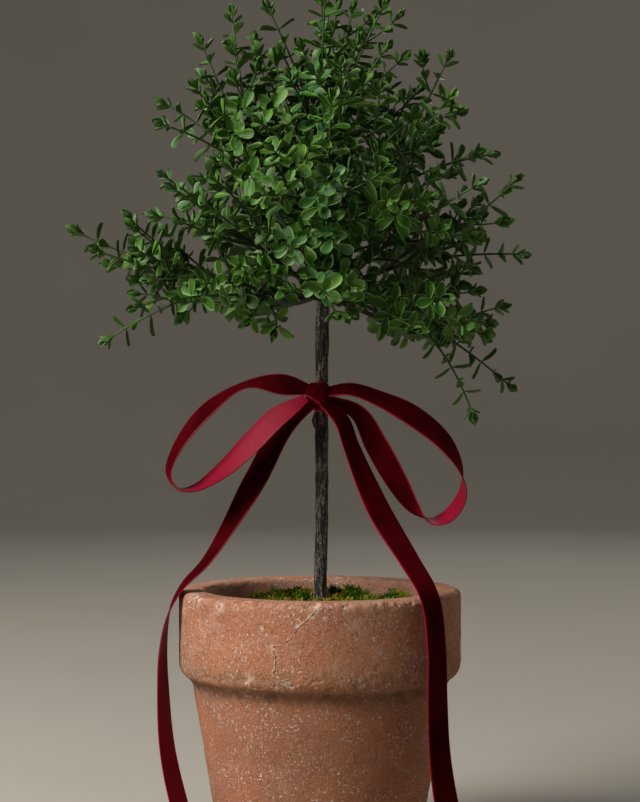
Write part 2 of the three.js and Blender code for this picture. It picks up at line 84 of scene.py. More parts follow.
# Ribbon routes of the solids: x, y and z in millimetres, turn in degrees and share of the full width
LEFT_LOOP = [
    (-3, -7.8, 251.5, -35, 0.4), (-20, -9.5, 255, -43, 1), (-40, -12, 254.3, -75, 1),
    (-61, -15, 240.5, -59, 1), (-76, -17.5, 221, -68, 1), (-80, -19, 208, -75, 1),
    (-75.5, -20, 200, -88, 1), (-66, -20.5, 200, -103, 1), (-52, -20, 209, -123, 1),
    (-37, -19, 223.5, -137, 1), (-24.5, -17.5, 236, -141, 0.95), (-15.5, -16.6, 242.4, -143, 0.7),
    (-7.6, -14.2, 247.6, -148, 0.36),
]
RIGHT_LOOP = [
    (1, -10.5, 250.5, 38, 0.4), (16, -13, 252.3, 50, 0.7), (32, -16, 247, 54, 0.95),
    (49, -19, 238.5, 42, 1), (65.5, -20.5, 225, 52, 1), (74.5, -20, 209.5, 78, 1),
    (75.5, -18, 196, 104, 1), (68.5, -15, 185, 112, 1), (59.5, -12.5, 182.5, 100, 1),
    (50.5, -10.5, 189, 65, 1), (40.5, -8.5, 204, 40, 1), (30, -7, 222.5, 36, 1),
    (20.5, -6.5, 239.5, 40, 0.75), (2, -7.6, 248, 40, 0.35),
]
LEFT_TAIL = [
    (-2, -7, 246, -40, 0.4), (-18.5, -5, 233, -38, 0.85), (-34.5, -8, 204, -37, 1),
    (-47.5, -13.5, 181, -57, 1), (-61, -17, 160.5, -73, 1), (-72.2, -18.5, 148.6, -80, 1),
    (-78.4, -17, 138, -85, 1), (-82, -15, 126.5, -93, 1), (-84, -13, 110, -102, 1),
    (-83.5, -12, 87, -110, 1), (-81.5, -13, 62, -116, 1), (-77.5, -17, 42, -120, 1),
    (-70.5, -24, 20.5, -121, 1), (-63.5, -31, 6.5, -121, 1),
]
RIGHT_TAIL = [
    (1, -12, 246, 35, 0.4), (11, -13.5, 236.5, 45, 0.75), (16.5, -18, 222, 55, 1),
    (31, -30, 189, 38, 1), (46, -46, 164, 48, 1), (54.5, -57, 149, 50, 1),
    (57.5, -60, 139, 48, 1), (59.5, -61, 118, 48, 1), (59.5, -61, 94, 45, 1),
    (60.5, -61, 70, 42, 1), (63.5, -62, 46, 36, 1), (68.5, -64, 22, 30, 1),
    (74.5, -67, 6.5, 26, 1),
]

# Settings that a user would change


def length(name, description, value):
    return FloatProperty(name=name, description=description, default=value, unit="LENGTH", precision=4)


def colour(name, description, value):
    return FloatVectorProperty(
        name=name, description=description, default=value, subtype="COLOR", size=3, min=0, max=1)


def amount(name, description, value):
    return FloatProperty(name=name, description=description, default=value, min=0)


def count(name, description, value):
    return IntProperty(name=name, description=description, default=value, min=1)


class PotSettings(bpy.types.PropertyGroup):
    """Sizes and clay colours of the pot"""
    height: length("Height", "Height of the rim's top", POT_HIGH.z)
    rim_radius: length("Rim radius", "Outer radius of the rim band", POT_HIGH.x)
    foot_radius: length("Foot radius", "Outer radius at the foot", 52.6 * MM)
    foot_round: length("Foot round", "Rounding of the foot's edge", 3 * MM)
    neck_radius: length("Neck radius", "Outer radius just under the rim", 68.2 * MM)
    neck_height: length("Neck height", "Height of the groove under the rim", 93.4 * MM)
    underside_radius: length("Underside radius", "Radius half way up the rim's underside", 72.5 * MM)
    underside_height: length("Underside height", "Height half way up the rim's underside", 99.2 * MM)
    band_foot: length("Band foot", "Height where the rim band turns upright", 108 * MM)
    rim_round: length("Rim round", "Rounding of the rim's outer edge", 4 * MM)
    mouth_radius: length("Mouth radius", "Inner radius at the rim", 61.5 * MM)
    mouth_round: length("Mouth round", "Rounding of the rim's inner edge", 3.5 * MM)
    bore_neck_radius: length("Bore radius", "Inner radius at the neck", 58.5 * MM)
    bore_foot_radius: length("Bore foot radius", "Inner radius at the floor", 45.2 * MM)
    floor: length("Floor", "Thickness of the floor", 11 * MM)
    chip_depth: length("Chip depth", "Depth of the chips along the rim", 1.3 * MM)
    clay: colour("Clay", "Main colour of the fired clay", (0.335, 0.132, 0.068))
    clay_pale: colour("Pale clay", "Dusty and rubbed clay", (0.48, 0.275, 0.200))
    clay_dark: colour("Dark clay", "Stained clay", (0.215, 0.078, 0.038))
    clay_warm: colour("Warm clay", "Orange patches", (0.40, 0.145, 0.062))
    stain: colour("Stain", "Brown stain on the rim's lower edge", (0.23, 0.112, 0.045))
    bloom: colour("Bloom", "White lime specks", (0.82, 0.68, 0.58))
    # Grime colour: dirt, and also painted shade in the groove under the rim and painted shadow along the
    # crack.
    grime_and_shade: colour("Grime", "Dirt in the groove and the crack", (0.10, 0.045, 0.023))


class FillingSettings(bpy.types.PropertyGroup):
    """Sizes and colours of the earth and the moss"""
    crumbs: count("Crumbs", "Number of loose crumbs of earth", 420)
    clumps: count("Clumps", "Number of moss clumps", 120)
    clump_fronds: count("Clump fronds", "Number of fronds in a clump", 20)
    frond_length: length("Frond length", "Length of a full frond", 8.8 * MM)
    earth: colour("Earth", "Dry crumbs", (0.055, 0.036, 0.024))
    earth_dark: colour("Dark earth", "Damp earth between the crumbs", (0.014, 0.009, 0.006))
    # The moss bed is old moss and painted shade, showing dark in the gaps between the fronds.
    moss_bed: colour("Moss bed", "Old moss under the fronds", (0.020, 0.022, 0.005))
    moss_green: colour("Moss green", "Fresh fronds", (0.140, 0.172, 0.009))
    moss_gold: colour("Moss gold", "Dry yellow fronds", (0.290, 0.235, 0.013))
    moss_deep: colour("Deep moss", "Shaded fronds", (0.030, 0.100, 0.008))


class PlantSettings(bpy.types.PropertyGroup):
    """Sizes and colours of the stem, twigs and leaves"""
    ridge_depth: length("Ridge depth", "Depth of the bark's furrows", 0.62 * MM)
    leaf_length: length("Leaf length", "Length of a full leaf", 11.8 * MM)
    leaf_width: length("Leaf width", "Width of a full leaf", 6.4 * MM)
    pair_spacing: length("Pair spacing", "Distance from one leaf pair to the next", 8.0 * MM)
    twigs: count("Twigs", "Twigs on each bough beside its leader", 7)
    inner_twigs: count("Inner twigs", "Short twigs that fill the head between the boughs", 3)
    bark: colour("Bark", "Grey ridges of the bark", (0.076, 0.060, 0.050))
    bark_dark: colour("Dark bark", "Furrows of the bark", (0.004, 0.0035, 0.003))
    bark_fleck: colour("Bark fleck", "Pale flecks on the ridges", (0.42, 0.38, 0.345))
    # Young wood is real wood, darkened as painted shade on the twigs' feet inside the head.
    wood: colour("Young wood", "Woody feet of the leaders and twigs", (0.009, 0.015, 0.004))
    twig: colour("Twig", "Green outer twigs", (0.030, 0.072, 0.009))
    # Deep leaf is old leaves and painted shade: the inner pairs of each twig and the sprays behind and below
    # take it.
    leaf_deep: colour("Deep leaf", "Old dark leaves", (0.016, 0.058, 0.002))
    leaf_green: colour("Green leaf", "Full-grown leaves", (0.036, 0.117, 0.010))
    # Blue leaf goes to sprays on the left, as a painted sheen of the light from that side.
    leaf_blue: colour("Blue leaf", "Dusty blue-green leaves", (0.040, 0.116, 0.031))
    # Fresh leaf goes to sprays at the front and top and to low hanging rosettes, as painted light.
    leaf_fresh: colour("Fresh leaf", "Young bright leaves", (0.062, 0.160, 0.019))
    margin: colour("Margin", "Pale raised margins, mixed with the leaf", (0.24, 0.43, 0.10))
    underside: colour("Underside", "Paler undersides", (0.042, 0.112, 0.009))


class RibbonSettings(bpy.types.PropertyGroup):
    """Sizes and colours of the velvet ribbon"""
    width: length("Width", "Width of the ribbon", 15 * MM)
    pile: length("Pile", "Height of the velvet pile", 0.55 * MM)
    backing: length("Backing", "Thickness of the satin back", 0.3 * MM)
    selvage: length("Selvage", "Width of the woven edge", 0.48 * MM)
    step: length("Step", "Length of one step along the ribbon", 1.5 * MM)
    velvet: colour("Velvet", "Colour of the pile", (0.058, 0.0003, 0.0022))
    velvet_sheen: colour("Velvet sheen", "Light caught by the pile's tips", (0.60, 0.004, 0.026))
    # The edge colour is the woven edge and painted sheen, on the ribbon's edges and the knot's creases.
    edge: colour("Edge", "Bright woven edge", (0.27, 0.0035, 0.019))
    satin: colour("Satin", "Satin back", (0.225, 0.0030, 0.021))


class StageSettings(bpy.types.PropertyGroup):
    """Camera, floor and light"""
    camera_distance: length("Camera distance", "Distance of the camera from the stem", 1.0)
    camera_height: length("Camera height", "Height of the level camera", 0.246)
    lens: FloatProperty(name="Lens", description="Focal length in millimetres", default=83.1, min=1)
    floor_radius: length("Floor radius", "Radius of the floor's flat part", 2.6)
    floor_colour: colour("Floor colour", "Pale floor", (0.43, 0.405, 0.36))
    key: amount("Key", "Power of the key light in watts", 55)
    fill: amount("Fill", "Power of the fill light in watts", 2.2)
    back: amount("Back", "Power of the weak light from behind in watts", 9)
    ambient: amount("Ambient", "Strength of the light from all round", 0.022)


# Shader nodes

# Places of the colours among the sockets of a Mix node
COLOUR_A, COLOUR_B, MIXED_COLOUR = 6, 7, 2


class Signal:
    """A shader value that adds a Math node when it is used in an expression."""

    def __init__(self, finish, socket):
        self.finish = finish
        self.socket = socket

    def math(self, operation, first, second):
        return self.finish.node("ShaderNodeMath", {"operation": operation}, {0: first, 1: second})

    def __add__(self, other):
        return self.math("ADD", self, other)

    def __radd__(self, other):
        return self.math("ADD", other, self)

    def __sub__(self, other):
        return self.math("SUBTRACT", self, other)

    def __rsub__(self, other):
        return self.math("SUBTRACT", other, self)

    def __mul__(self, other):
        return self.math("MULTIPLY", self, other)

    def __rmul__(self, other):
        return self.math("MULTIPLY", other, self)


class Finish:
    """One material: its shader, and the patterns and mixes that feed it."""

    def __init__(self, name, **uniform):
        self.material = bpy.data.materials.new(name)
        self.material.use_nodes = True
        self.tree = self.material.node_tree
        self.shader = self.tree.nodes["Principled BSDF"]
        self.place = self.node("ShaderNodeTexCoord", output="Object")
        for socket, value in uniform.items():
            label = socket.replace("_", " ").title().replace("Ior", "IOR")
            self.join(self.shader.inputs[label], value)

    def node(self, kind, settings=None, sockets=None, output=0):
        made = self.tree.nodes.new(kind)
        for name, value in (settings or {}).items():
            setattr(made, name, value)
        for key, value in (sockets or {}).items():
            self.join(made.inputs[key], value)
        return Signal(self, made.outputs[output])

    def join(self, socket, value):
        if isinstance(value, Signal):
            self.tree.links.new(value.socket, socket)
        elif socket.type == "RGBA":
            socket.default_value = (*value, 1.0)
        else:
            socket.default_value = value

    def stretched(self, stretch):
        return self.node("ShaderNodeVectorMath", {"operation": "MULTIPLY"}, {0: self.place, 1: stretch})

    def grain(self, scale, detail=3.0, roughness=0.55, stretch=None):
        vector = self.place if stretch is None else self.stretched(stretch)
        sockets = {"Vector": vector, "Scale": scale, "Detail": detail, "Roughness": roughness}
        return self.node("ShaderNodeTexNoise", None, sockets)

    def cells(self, scale, output="Distance"):
        return self.node("ShaderNodeTexVoronoi", None, {"Vector": self.place, "Scale": scale}, output)

    def level(self, signal, low, high):
        settings = {"interpolation_type": "SMOOTHSTEP"}
        return self.node("ShaderNodeMapRange", settings, {"Value": signal, "From Min": low, "From Max": high})

    def mark(self, name):
        settings = {"attribute_name": name, "attribute_type": "GEOMETRY"}
        return self.node("ShaderNodeAttribute", settings, output="Fac")

    def mix(self, share, first, second):
        sockets = {"Factor": share, COLOUR_A: first, COLOUR_B: second}
        return self.node("ShaderNodeMix", {"data_type": "RGBA"}, sockets, MIXED_COLOUR)

    def coats(self, base, *coats):
        """Mixes coats of colour over a base, each by its own share."""
        for share, coat in coats:
            base = self.mix(share, base, coat)
        return base

    def paint(self, base, roughness=None):
        self.join(self.shader.inputs["Base Color"], base)
        if roughness is not None:
            self.join(self.shader.inputs["Roughness"], roughness)

    def relief(self, height, distance, strength=1.0):
        sockets = {"Height": height, "Distance": distance, "Strength": strength}
        self.join(self.shader.inputs["Normal"], self.node("ShaderNodeBump", None, sockets))


def shaded(colour, share):
    """A colour at a share of its brightness."""
    return tuple(share * part for part in colour)


# Meshes


def smooth(low, high, value):
    """A soft step from 0 at low to 1 at high."""
    share = np.clip((value - low) / (high - low), 0.0, 1.0)
    return share * share * (3.0 - 2.0 * share)


def between(stops, place):
    """The value at a place on straight lines from one (place, value) stop to the next."""
    return np.interp(place, *zip(*stops))


def field(points, scale, octaves=3):
    """Fractal noise at each point."""
    scaled = (np.asarray(points) * np.asarray(scale)).tolist()
    return np.array([noise.fractal(place, 1.0, 2.0, octaves) for place in scaled])


def unit(vector):
    vector = np.asarray(vector, float)
    return vector / np.linalg.norm(vector, axis=-1, keepdims=True)


def places(mesh):
    flat = np.empty(len(mesh.vertices) * 3, np.float32)
    mesh.vertices.foreach_get("co", flat)
    return flat.reshape(-1, 3).astype(float)


def move(mesh, points):
    mesh.vertices.foreach_set("co", np.asarray(points, np.float32).ravel())
    mesh.update()


def mark(mesh, name, values):
    attribute = mesh.attributes.new(name, "FLOAT", "POINT")
    attribute.data.foreach_set("value", np.asarray(values, np.float32))


def begin(name, add, **settings):
    """Adds a primitive by itself, with its place in its mesh."""
    bpy.ops.object.select_all(action="DESELECT")
    add(**settings)
    piece = bpy.context.active_object
    piece.name = name
    piece.data.name = name
    bpy.ops.object.transform_apply(location=True, rotation=True, scale=True)
    return piece


def activate(piece):
    """Selects one piece alone and makes it the active one."""
    bpy.ops.object.select_all(action="DESELECT")
    piece.select_set(True)
    bpy.context.view_layer.objects.active = piece


def divide(piece, elements, kind, chosen, cuts):
    """Subdivides those edges or faces of the active piece that pass a test."""
    bpy.ops.object.mode_set(mode="EDIT")
    bpy.ops.mesh.select_mode(type=kind)
    bpy.ops.mesh.select_all(action="DESELECT")
    bpy.ops.object.mode_set(mode="OBJECT")
    for element in getattr(piece.data, elements):
        element.select = chosen(element)
    bpy.ops.object.mode_set(mode="EDIT")
    bpy.ops.mesh.subdivide(number_cuts=cuts)
    bpy.ops.mesh.select_mode(type="VERT")
    bpy.ops.object.mode_set(mode="OBJECT")


def close(piece):
    """Merges doubled points, turns the faces outwards and leaves edit mode."""
    bpy.ops.mesh.select_all(action="SELECT")
    bpy.ops.mesh.remove_doubles(threshold=1e-6)
    bpy.ops.mesh.normals_make_consistent(inside=False)
    bpy.ops.object.mode_set(mode="OBJECT")
    return piece


def turned(name, rings, segments, capped=True):
    """A turned body: a ring extruded and resized from one (radius, height) to the next."""
    radius, height = rings[0]
    piece = begin(name, bpy.ops.mesh.primitive_circle_add, vertices=segments, radius=radius,
                  fill_type="NGON", location=(0, 0, height))
    bpy.ops.object.mode_set(mode="EDIT")
    bpy.ops.mesh.select_all(action="SELECT")
    for next_radius, next_height in rings[1:]:
        share = next_radius / radius
        lift = {"value": (0, 0, next_height - height)}
        bpy.ops.mesh.extrude_edges_move(TRANSFORM_OT_translate=lift)
        bpy.ops.transform.resize(value=(share, share, 1), center_override=(0, 0, 0))
        radius, height = next_radius, next_height
    if capped:
        bpy.ops.mesh.edge_face_add()
        return close(piece)
    bpy.ops.object.mode_set(mode="OBJECT")
    return piece


def finished(piece, nodes, materials, angle=60):
    """Shades a piece, gives it its materials and sets it on the solids that it stands for."""
    for material in materials:
        piece.data.materials.append(material)
    activate(piece)
    bpy.ops.object.shade_smooth_by_angle(angle=math.radians(angle))
    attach(piece, "root")
    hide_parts(*nodes)
    return piece


class Bundle:
    """Many small shapes that are joined into one mesh."""

    def __init__(self):
        self.points = []
        self.faces = []
        self.slots = []
        self.total = 0

    def add(self, points, faces, slots=None):
        self.points.append(np.asarray(points, float))
        self.faces.extend([[corner + self.total for corner in face] for face in faces])
        self.slots.extend(slots if slots is not None else [0] * len(faces))
        self.total += len(points)

    def joined(self, name):
        mesh = bpy.data.meshes.new(name)
        mesh.from_pydata(np.concatenate(self.points).tolist(), [], self.faces)
        mesh.polygons.foreach_set("material_index", self.slots)
        piece = bpy.data.objects.new(name, mesh)
        bpy.context.scene.collection.objects.link(piece)
        return piece


def loft(rings, sides):
    """Faces of a closed bar of so many rings: the strips along it, then its two ends."""
    faces = []
    for low in range(0, (rings - 1) * sides, sides):
        high = low + sides
        for corner in range(sides):
            following = (corner + 1) % sides
            faces.append((low + corner, low + following, high + following, high + corner))
    faces.append(tuple(reversed(range(sides))))
    faces.append(tuple(range((rings - 1) * sides, rings * sides)))
    return faces


def tube(path, radii, sides):
    """A closed round bar along a path."""
    path = np.asarray(path, float)
    tangents = unit(np.gradient(path, axis=0))
    askew = [0.31, 0.17, 0.93]
    side = unit(np.cross(tangents[0], askew))
    rings = []
    for place, tangent, radius in zip(path, tangents, radii):
        side = unit(side - tangent * np.dot(side, tangent))
        other = np.cross(tangent, side)
        turns = np.arange(sides) * (2 * math.pi / sides)
        rings.append(place + radius * (np.outer(np.cos(turns), side) + np.outer(np.sin(turns), other)))
    return np.concatenate(rings), loft(len(path), sides)


def draws(seed):
    """The solids' own source of even numbers from 0 to 1."""
    span, scatter, factor, shift = 2**32, 2654435761, 1664525, 1013904223
    state = (seed * scatter) % span

    def draw(low=0.0, high=1.0):
        nonlocal state
        state = (state * factor + shift) % span
        return low + (high - low) * state / span

    return draw


# Pot


def line(start, end, steps):
    """Points from start to end, without the first."""
    shares = np.arange(1, steps + 1)[:, None] / steps
    return [tuple(place) for place in np.array(start) * (1 - shares) + np.array(end) * shares]


def curve(start, pull, end, steps):
    """Points of a quadratic curve, without the first."""
    shares = np.arange(1, steps + 1)[:, None] / steps
    start, pull, end = np.array(start), np.array(pull), np.array(end)
    bent = start * (1 - shares) ** 2 + pull * 2 * shares * (1 - shares) + end * shares**2
    return [tuple(place) for place in bent]


def pot_rings(pot):
    """The pot's outline from its foot, up the outside, over the rim and down the bore."""
    body_steps, band_steps, bore_steps = 64, 26, 14
    slope = (pot.neck_radius - pot.foot_radius) / pot.neck_height
    foot_edge = (pot.foot_radius + slope * pot.foot_round, pot.foot_round)
    neck = (pot.neck_radius, pot.neck_height)
    underside = (pot.underside_radius, pot.underside_height)
    band_foot = (pot.rim_radius, pot.band_foot)
    band_top = (pot.rim_radius, pot.height - pot.rim_round)
    rim_out = (pot.rim_radius - pot.rim_round, pot.height)
    rim_in = (pot.mouth_radius + pot.mouth_round, pot.height)
    mouth = (pot.mouth_radius, pot.height - pot.mouth_round)
    bore_neck = (pot.bore_neck_radius, pot.neck_height)
    rings = [(pot.foot_radius - pot.foot_round, 0.0)]
    rings += curve(rings[-1], (pot.foot_radius, 0.0), foot_edge, 4)
    rings += line(foot_edge, neck, body_steps)
    rings += curve(neck, (pot.neck_radius + 0.9 * MM, pot.neck_height + 3.6 * MM), underside, 6)
    rings += curve(underside, (pot.rim_radius, pot.underside_height + 2.6 * MM), band_foot, 7)
    rings += line(band_foot, band_top, band_steps)
    rings += curve(band_top, (pot.rim_radius, pot.height), rim_out, 6)
    rings += line(rim_out, rim_in, 6)
    rings += curve(rim_in, (pot.mouth_radius, pot.height), mouth, 5)
    rings += line(mouth, bore_neck, bore_steps * 2)[:bore_steps]
    rings += [bore_neck, (pot.bore_foot_radius, pot.floor)]
    return rings


# Ragged crack down the front of the rim, as x and z in millimetres
CRACK = [(-1.3, 143), (-5.8, 137.4), (-11.2, 133), (-14.7, 127.5), (-19.6, 124.1), (-25.1, 122.6),
         (-23.1, 118.1), (-23.6, 108.2), (-18.1, 102.3)]
CRACK_BRANCH = [(-14.7, 126), (-13.9, 120.3), (-14.2, 112.4), (-13.7, 105.3)]
# Pale flakes on the rim, as x, z and radius in millimetres
FLAKES = [
    (-0.9, 142.7, 3.2), (-4.3, 138.4, 1.9), (1.8, 137.5, 1.3), (-11.2, 132.8, 1.5), (-24.4, 122.2, 1.7),
    (-20.5, 102.6, 2.4), (-15.5, 103.4, 2.2), (-36.0, 105.5, 2.6), (-64.0, 143.5, 3.0), (-51.0, 141.0, 2.2),
    (-34.0, 127.0, 1.6), (20.5, 105.0, 2.2), (-29.5, 131.5, 1.5), (12.0, 142.5, 2.4), (30.0, 143.0, 2.0),
]


def distance_to(path, x, z):
    """Distance in the front view from each point to a path of straight pieces."""
    nearest = np.full(len(x), 1.0)
    for (ax, az), (bx, bz) in zip(path, path[1:]):
        ax, az, bx, bz = ax * MM, az * MM, bx * MM, bz * MM
        share = ((x - ax) * (bx - ax) + (z - az) * (bz - az)) / ((bx - ax) ** 2 + (bz - az) ** 2)
        share = np.clip(share, 0, 1)
        nearest = np.minimum(nearest, np.hypot(x - ax - share * (bx - ax), z - az - share * (bz - az)))
    return nearest


def near_edge(radius, height, edge_radius, edge_height, reach):
    """1 on an edge ring of the pot, falling to 0 with the distance from it."""
    return np.exp(-((radius - edge_radius) ** 2 + (height - edge_height) ** 2) / reach**2)


def rim_chips(points, radius, height, pot):
    """How far each point is chipped, along the upper, lower and inner edges of the rim."""
    upper = near_edge(radius, height, pot.rim_radius - 1.2 * MM, pot.height - 1.2 * MM, 2.6 * MM)
    lower = near_edge(radius, height, pot.rim_radius - 0.6 * MM, pot.underside_height + 4.5 * MM, 3.4 * MM)
    inner = near_edge(radius, height, pot.mouth_radius + MM, pot.height - MM, 2.0 * MM)
    ragged = smooth(0.02, 0.42, field(points, 120)) + 0.5 * smooth(0.1, 0.4, field(points, 420))
    return ragged * np.maximum(np.maximum(0.5 * upper, 0.55 * lower), 0.3 * inner)


def crack_marks(points, front):
    """The crack's raised edge, its dark line just below and to the right as dirt and a painted shadow of that
    edge, and its branch.
    """
    x, z = points[:, 0], points[:, 2]
    wobble = field(points, 330, 2) * 1.1 * MM
    edge_gap = distance_to(CRACK, x + wobble, z + wobble)
    line_gap = distance_to(CRACK, x + wobble - 0.55 * MM, z + wobble + 0.75 * MM)
    branch_gap = distance_to(CRACK_BRANCH, x + wobble, z)
    broken = smooth(-0.34, 0.0, field(points, 260, 2))
    split = smooth(-0.02, 0.2, field(points + 0.5, 300, 2))
    faint = smooth(-0.15, 0.2, field(points, 210, 2))
    edge = front * (1 - smooth(0.12 * MM, 0.55 * MM, edge_gap)) * broken
    dark_line = front * (1 - smooth(0.1 * MM, 0.5 * MM, line_gap)) * split
    branch = front * (1 - smooth(0.15 * MM, 0.8 * MM, branch_gap)) * faint
    return edge, dark_line, branch


def flake_marks(points, front):
    """The pale flakes of the rim, with ragged outlines."""
    flakes = np.zeros(len(points))
    for x, z, reach in FLAKES:
        gap = np.hypot(points[:, 0] - x * MM, points[:, 2] - z * MM) / (reach * MM)
        flakes = np.maximum(flakes, front * np.exp(-gap**2))
    return flakes * smooth(-0.18, 0.16, field(points, 430))


def wear_pot(piece, pot):
    """Unevenness, chips, flakes and the crack, with attributes for the clay's colours."""
    mesh = piece.data
    points = places(mesh)
    radius = np.hypot(points[:, 0], points[:, 1])
    height = points[:, 2]
    outward = np.zeros_like(points)
    outward[:, :2] = points[:, :2] / np.maximum(radius, 1e-6)[:, None]
    inside = radius < pot.mouth_radius + MM
    front = (points[:, 1] < 0) & (radius > pot.rim_radius - 6 * MM)
    above_foot = smooth(2 * MM, 8 * MM, height)
    side = np.where(inside, -1.0, 1.0)
    lumps = field(points, 30) * 0.40 * MM + field(points, 260) * 0.13 * MM
    shift = outward * (lumps * above_foot * side)[:, None]
    chips = rim_chips(points, radius, height, pot)
    slant = outward * np.where(inside, -0.6, 1.0)[:, None]
    slant[:, 2] = np.where(height > pot.height - 6 * MM, 0.7, -0.35)
    shift -= slant * (chips * pot.chip_depth)[:, None]
    edge, dark_line, branch = crack_marks(points, front)
    flakes = flake_marks(points, front)
    raised = 0.3 * MM * edge + 0.15 * MM * branch
    sunken = 0.35 * MM * dark_line + 0.25 * MM * flakes
    shift += outward * (raised - sunken)[:, None]
    move(mesh, points + shift)
    # The groove mark darkens the clay under the rim with dirt and painted shade.
    groove = near_edge(radius, height, pot.neck_radius + 1.5 * MM, pot.neck_height + 3 * MM, 5.0 * MM)
    low_band = np.exp(-((height - pot.underside_height - 6 * MM) / (7 * MM)) ** 2)
    mark(mesh, "chip", np.clip(chips, 0, 1))
    mark(mesh, "scar", np.clip(edge + 0.8 * branch + 1.3 * flakes, 0, 1))
    # The crack mark carries the dark line: dirt and painted shadow below the raised edge.
    mark(mesh, "crack", dark_line)
    mark(mesh, "groove", groove)
    mark(mesh, "foot_band", low_band * (radius > pot.neck_radius))
    mark(mesh, "inside", inside * smooth(90 * MM, 110 * MM, height))
    mark(mesh, "rim", smooth(pot.neck_height, pot.band_foot, height))


def clay(pot):
    """Old fired clay: rubbed and stained patches, lime specks, dark pits, pale chips, and a groove darkened
    with dirt and painted shade under the rim.
    """
    finish = Finish("worn_clay", specular_ior_level=0.25)
    rim = finish.mark("rim")
    patches = finish.level(finish.grain(26, 4), 0.38, 0.66)
    blotches = finish.level(finish.grain(95, 4, 0.65), 0.42, 0.68)
    glow = finish.level(finish.grain(17, 3), 0.44, 0.62)
    stain = finish.mark("foot_band") * finish.level(finish.grain(150, 4, 0.6), 0.30, 0.62)
    pale_grain = finish.level(finish.grain(950, 3, 0.6), 0.44, 0.66)
    pits = finish.level(finish.grain(800, 3, 0.6), 0.55, 0.68)
    size = finish.node("ShaderNodeSeparateColor", None, {0: finish.cells(400, "Color")})
    coarse = (1 - finish.level(finish.cells(400), 0.08, 0.26)) * finish.level(size, 0.45, 0.8)
    fine = finish.level(finish.grain(1250, 2, 0.5), 0.60, 0.68)
    thick = finish.level(finish.grain(60, 3), 0.34, 0.62)
    curl = finish.grain(480, 3, 0.6) - 0.5
    hairs = (1 - finish.level(curl * curl, 0.0002, 0.0026)) * finish.level(finish.grain(640, 2), 0.55, 0.63)
    specks = finish.level((0.6 * coarse + hairs + 0.5 * fine) * (0.2 + 0.8 * thick), 0.22, 0.72)
    chips = finish.mark("chip") * finish.level(finish.grain(700, 3), 0.40, 0.62)
    scars = finish.mark("scar") * finish.level(finish.grain(900, 2), 0.30, 0.55)
    groove_dirt_and_shade = finish.mark("groove") * finish.level(finish.grain(180, 4), 0.05, 0.80)
    base = finish.coats(
        pot.clay,
        (patches * 0.6, pot.clay_dark),
        (blotches * (0.22 + 0.36 * rim), pot.clay_pale),
        # The body under the rim band is painted darker than the rim, all round.
        (0.30 - 0.30 * rim, pot.clay_dark),
        (glow * 0.55, pot.clay_warm),
        (stain * 0.75, pot.stain),
        (finish.mark("inside") * 0.45, pot.clay_pale),
        (pale_grain * (0.42 + 0.16 * rim), pot.clay_pale),
        (pits * 0.28, pot.clay_dark),
        (specks * 0.74, pot.bloom),
        (chips * 0.45, pot.clay_pale),
        (scars * 0.52, pot.bloom),
        # Dirt and painted shade in the groove under the rim.
        (groove_dirt_and_shade, pot.grime_and_shade),
        # Dirt and painted shadow along the crack, just below and right of its raised edge.
        (finish.mark("crack") * 0.45, pot.grime_and_shade),
    )
    finish.paint(base, 0.80 + 0.14 * pale_grain)
    finish.relief(finish.grain(620, 5, 0.7) + specks * 0.3 - pits * 0.35, 0.6 * MM)
    return finish.material


class TOPIARY_OT_pot(bpy.types.Operator):
    """Turns the clay pot, then wears and stains it"""
    bl_idname = "topiary.pot"
    bl_label = "Clay pot"

    def execute(self, context):
        pot = context.scene.topiary_pot
        piece = turned("clay_pot", pot_rings(pot), 360)
        self.refine_front(piece, pot)
        wear_pot(piece, pot)
        finished(piece, ["pot"], [clay(pot)], angle=75)
        return {"FINISHED"}

    def refine_front(self, piece, pot):
        """Divides the front of the rim, and once more the faces round the crack."""
        crack_foot, crack_left, crack_right = 99 * MM, -32 * MM, 6 * MM

        def in_front(face, low, inner):
            x, y, z = face.center
            return y < 0 and z > low and math.hypot(x, y) > inner

        def on_rim(face):
            return in_front(face, pot.neck_height, pot.mouth_radius)

        def round_crack(face):
            return crack_left < face.center.x < crack_right and in_front(face, crack_foot, pot.neck_radius)

        divide(piece, "polygons", "FACE", on_rim, 1)
        divide(piece, "polygons", "FACE", round_crack, 1)


# Filling


def earth_finish(filling):
    """Dark damp earth with dry crumbs."""
    finish = Finish("dark_earth", specular_ior_level=0.2)
    crumbs = finish.level(finish.grain(420, 5, 0.65), 0.42, 0.66)
    finish.paint(finish.mix(crumbs, filling.earth_dark, filling.earth), 0.9)
    finish.relief(finish.grain(650, 5, 0.65), 0.8 * MM)
    return finish.material


def moss_bed_finish(filling):
    """Matted old moss under the fronds, dark also as painted shade in the gaps between them."""
    finish = Finish("moss_bed", specular_ior_level=0.15)
    tufts = finish.level(finish.grain(500, 4, 0.65), 0.40, 0.68)
    finish.paint(finish.mix(tufts, filling.moss_bed, filling.moss_deep), 0.95)
    finish.relief(finish.grain(900, 4), 0.9 * MM)
    return finish.material


def dart(root, tip, up, wide, bend=0.0):
    """A slim closed leaflet from root to tip, thickest in the middle, as points and faces."""
    axis = unit(tip - root)
    up = unit(up - axis * np.dot(up, axis))
    side = np.cross(up, axis)
    middle = (root + tip) / 2 + up * bend
    points = [root, tip, middle + side * wide, middle + up * wide * 0.6, middle - side * wide]
    return np.array(points), [(2, 3, 1), (3, 4, 1), (4, 2, 1), (3, 2, 0), (4, 3, 0), (2, 4, 0)]


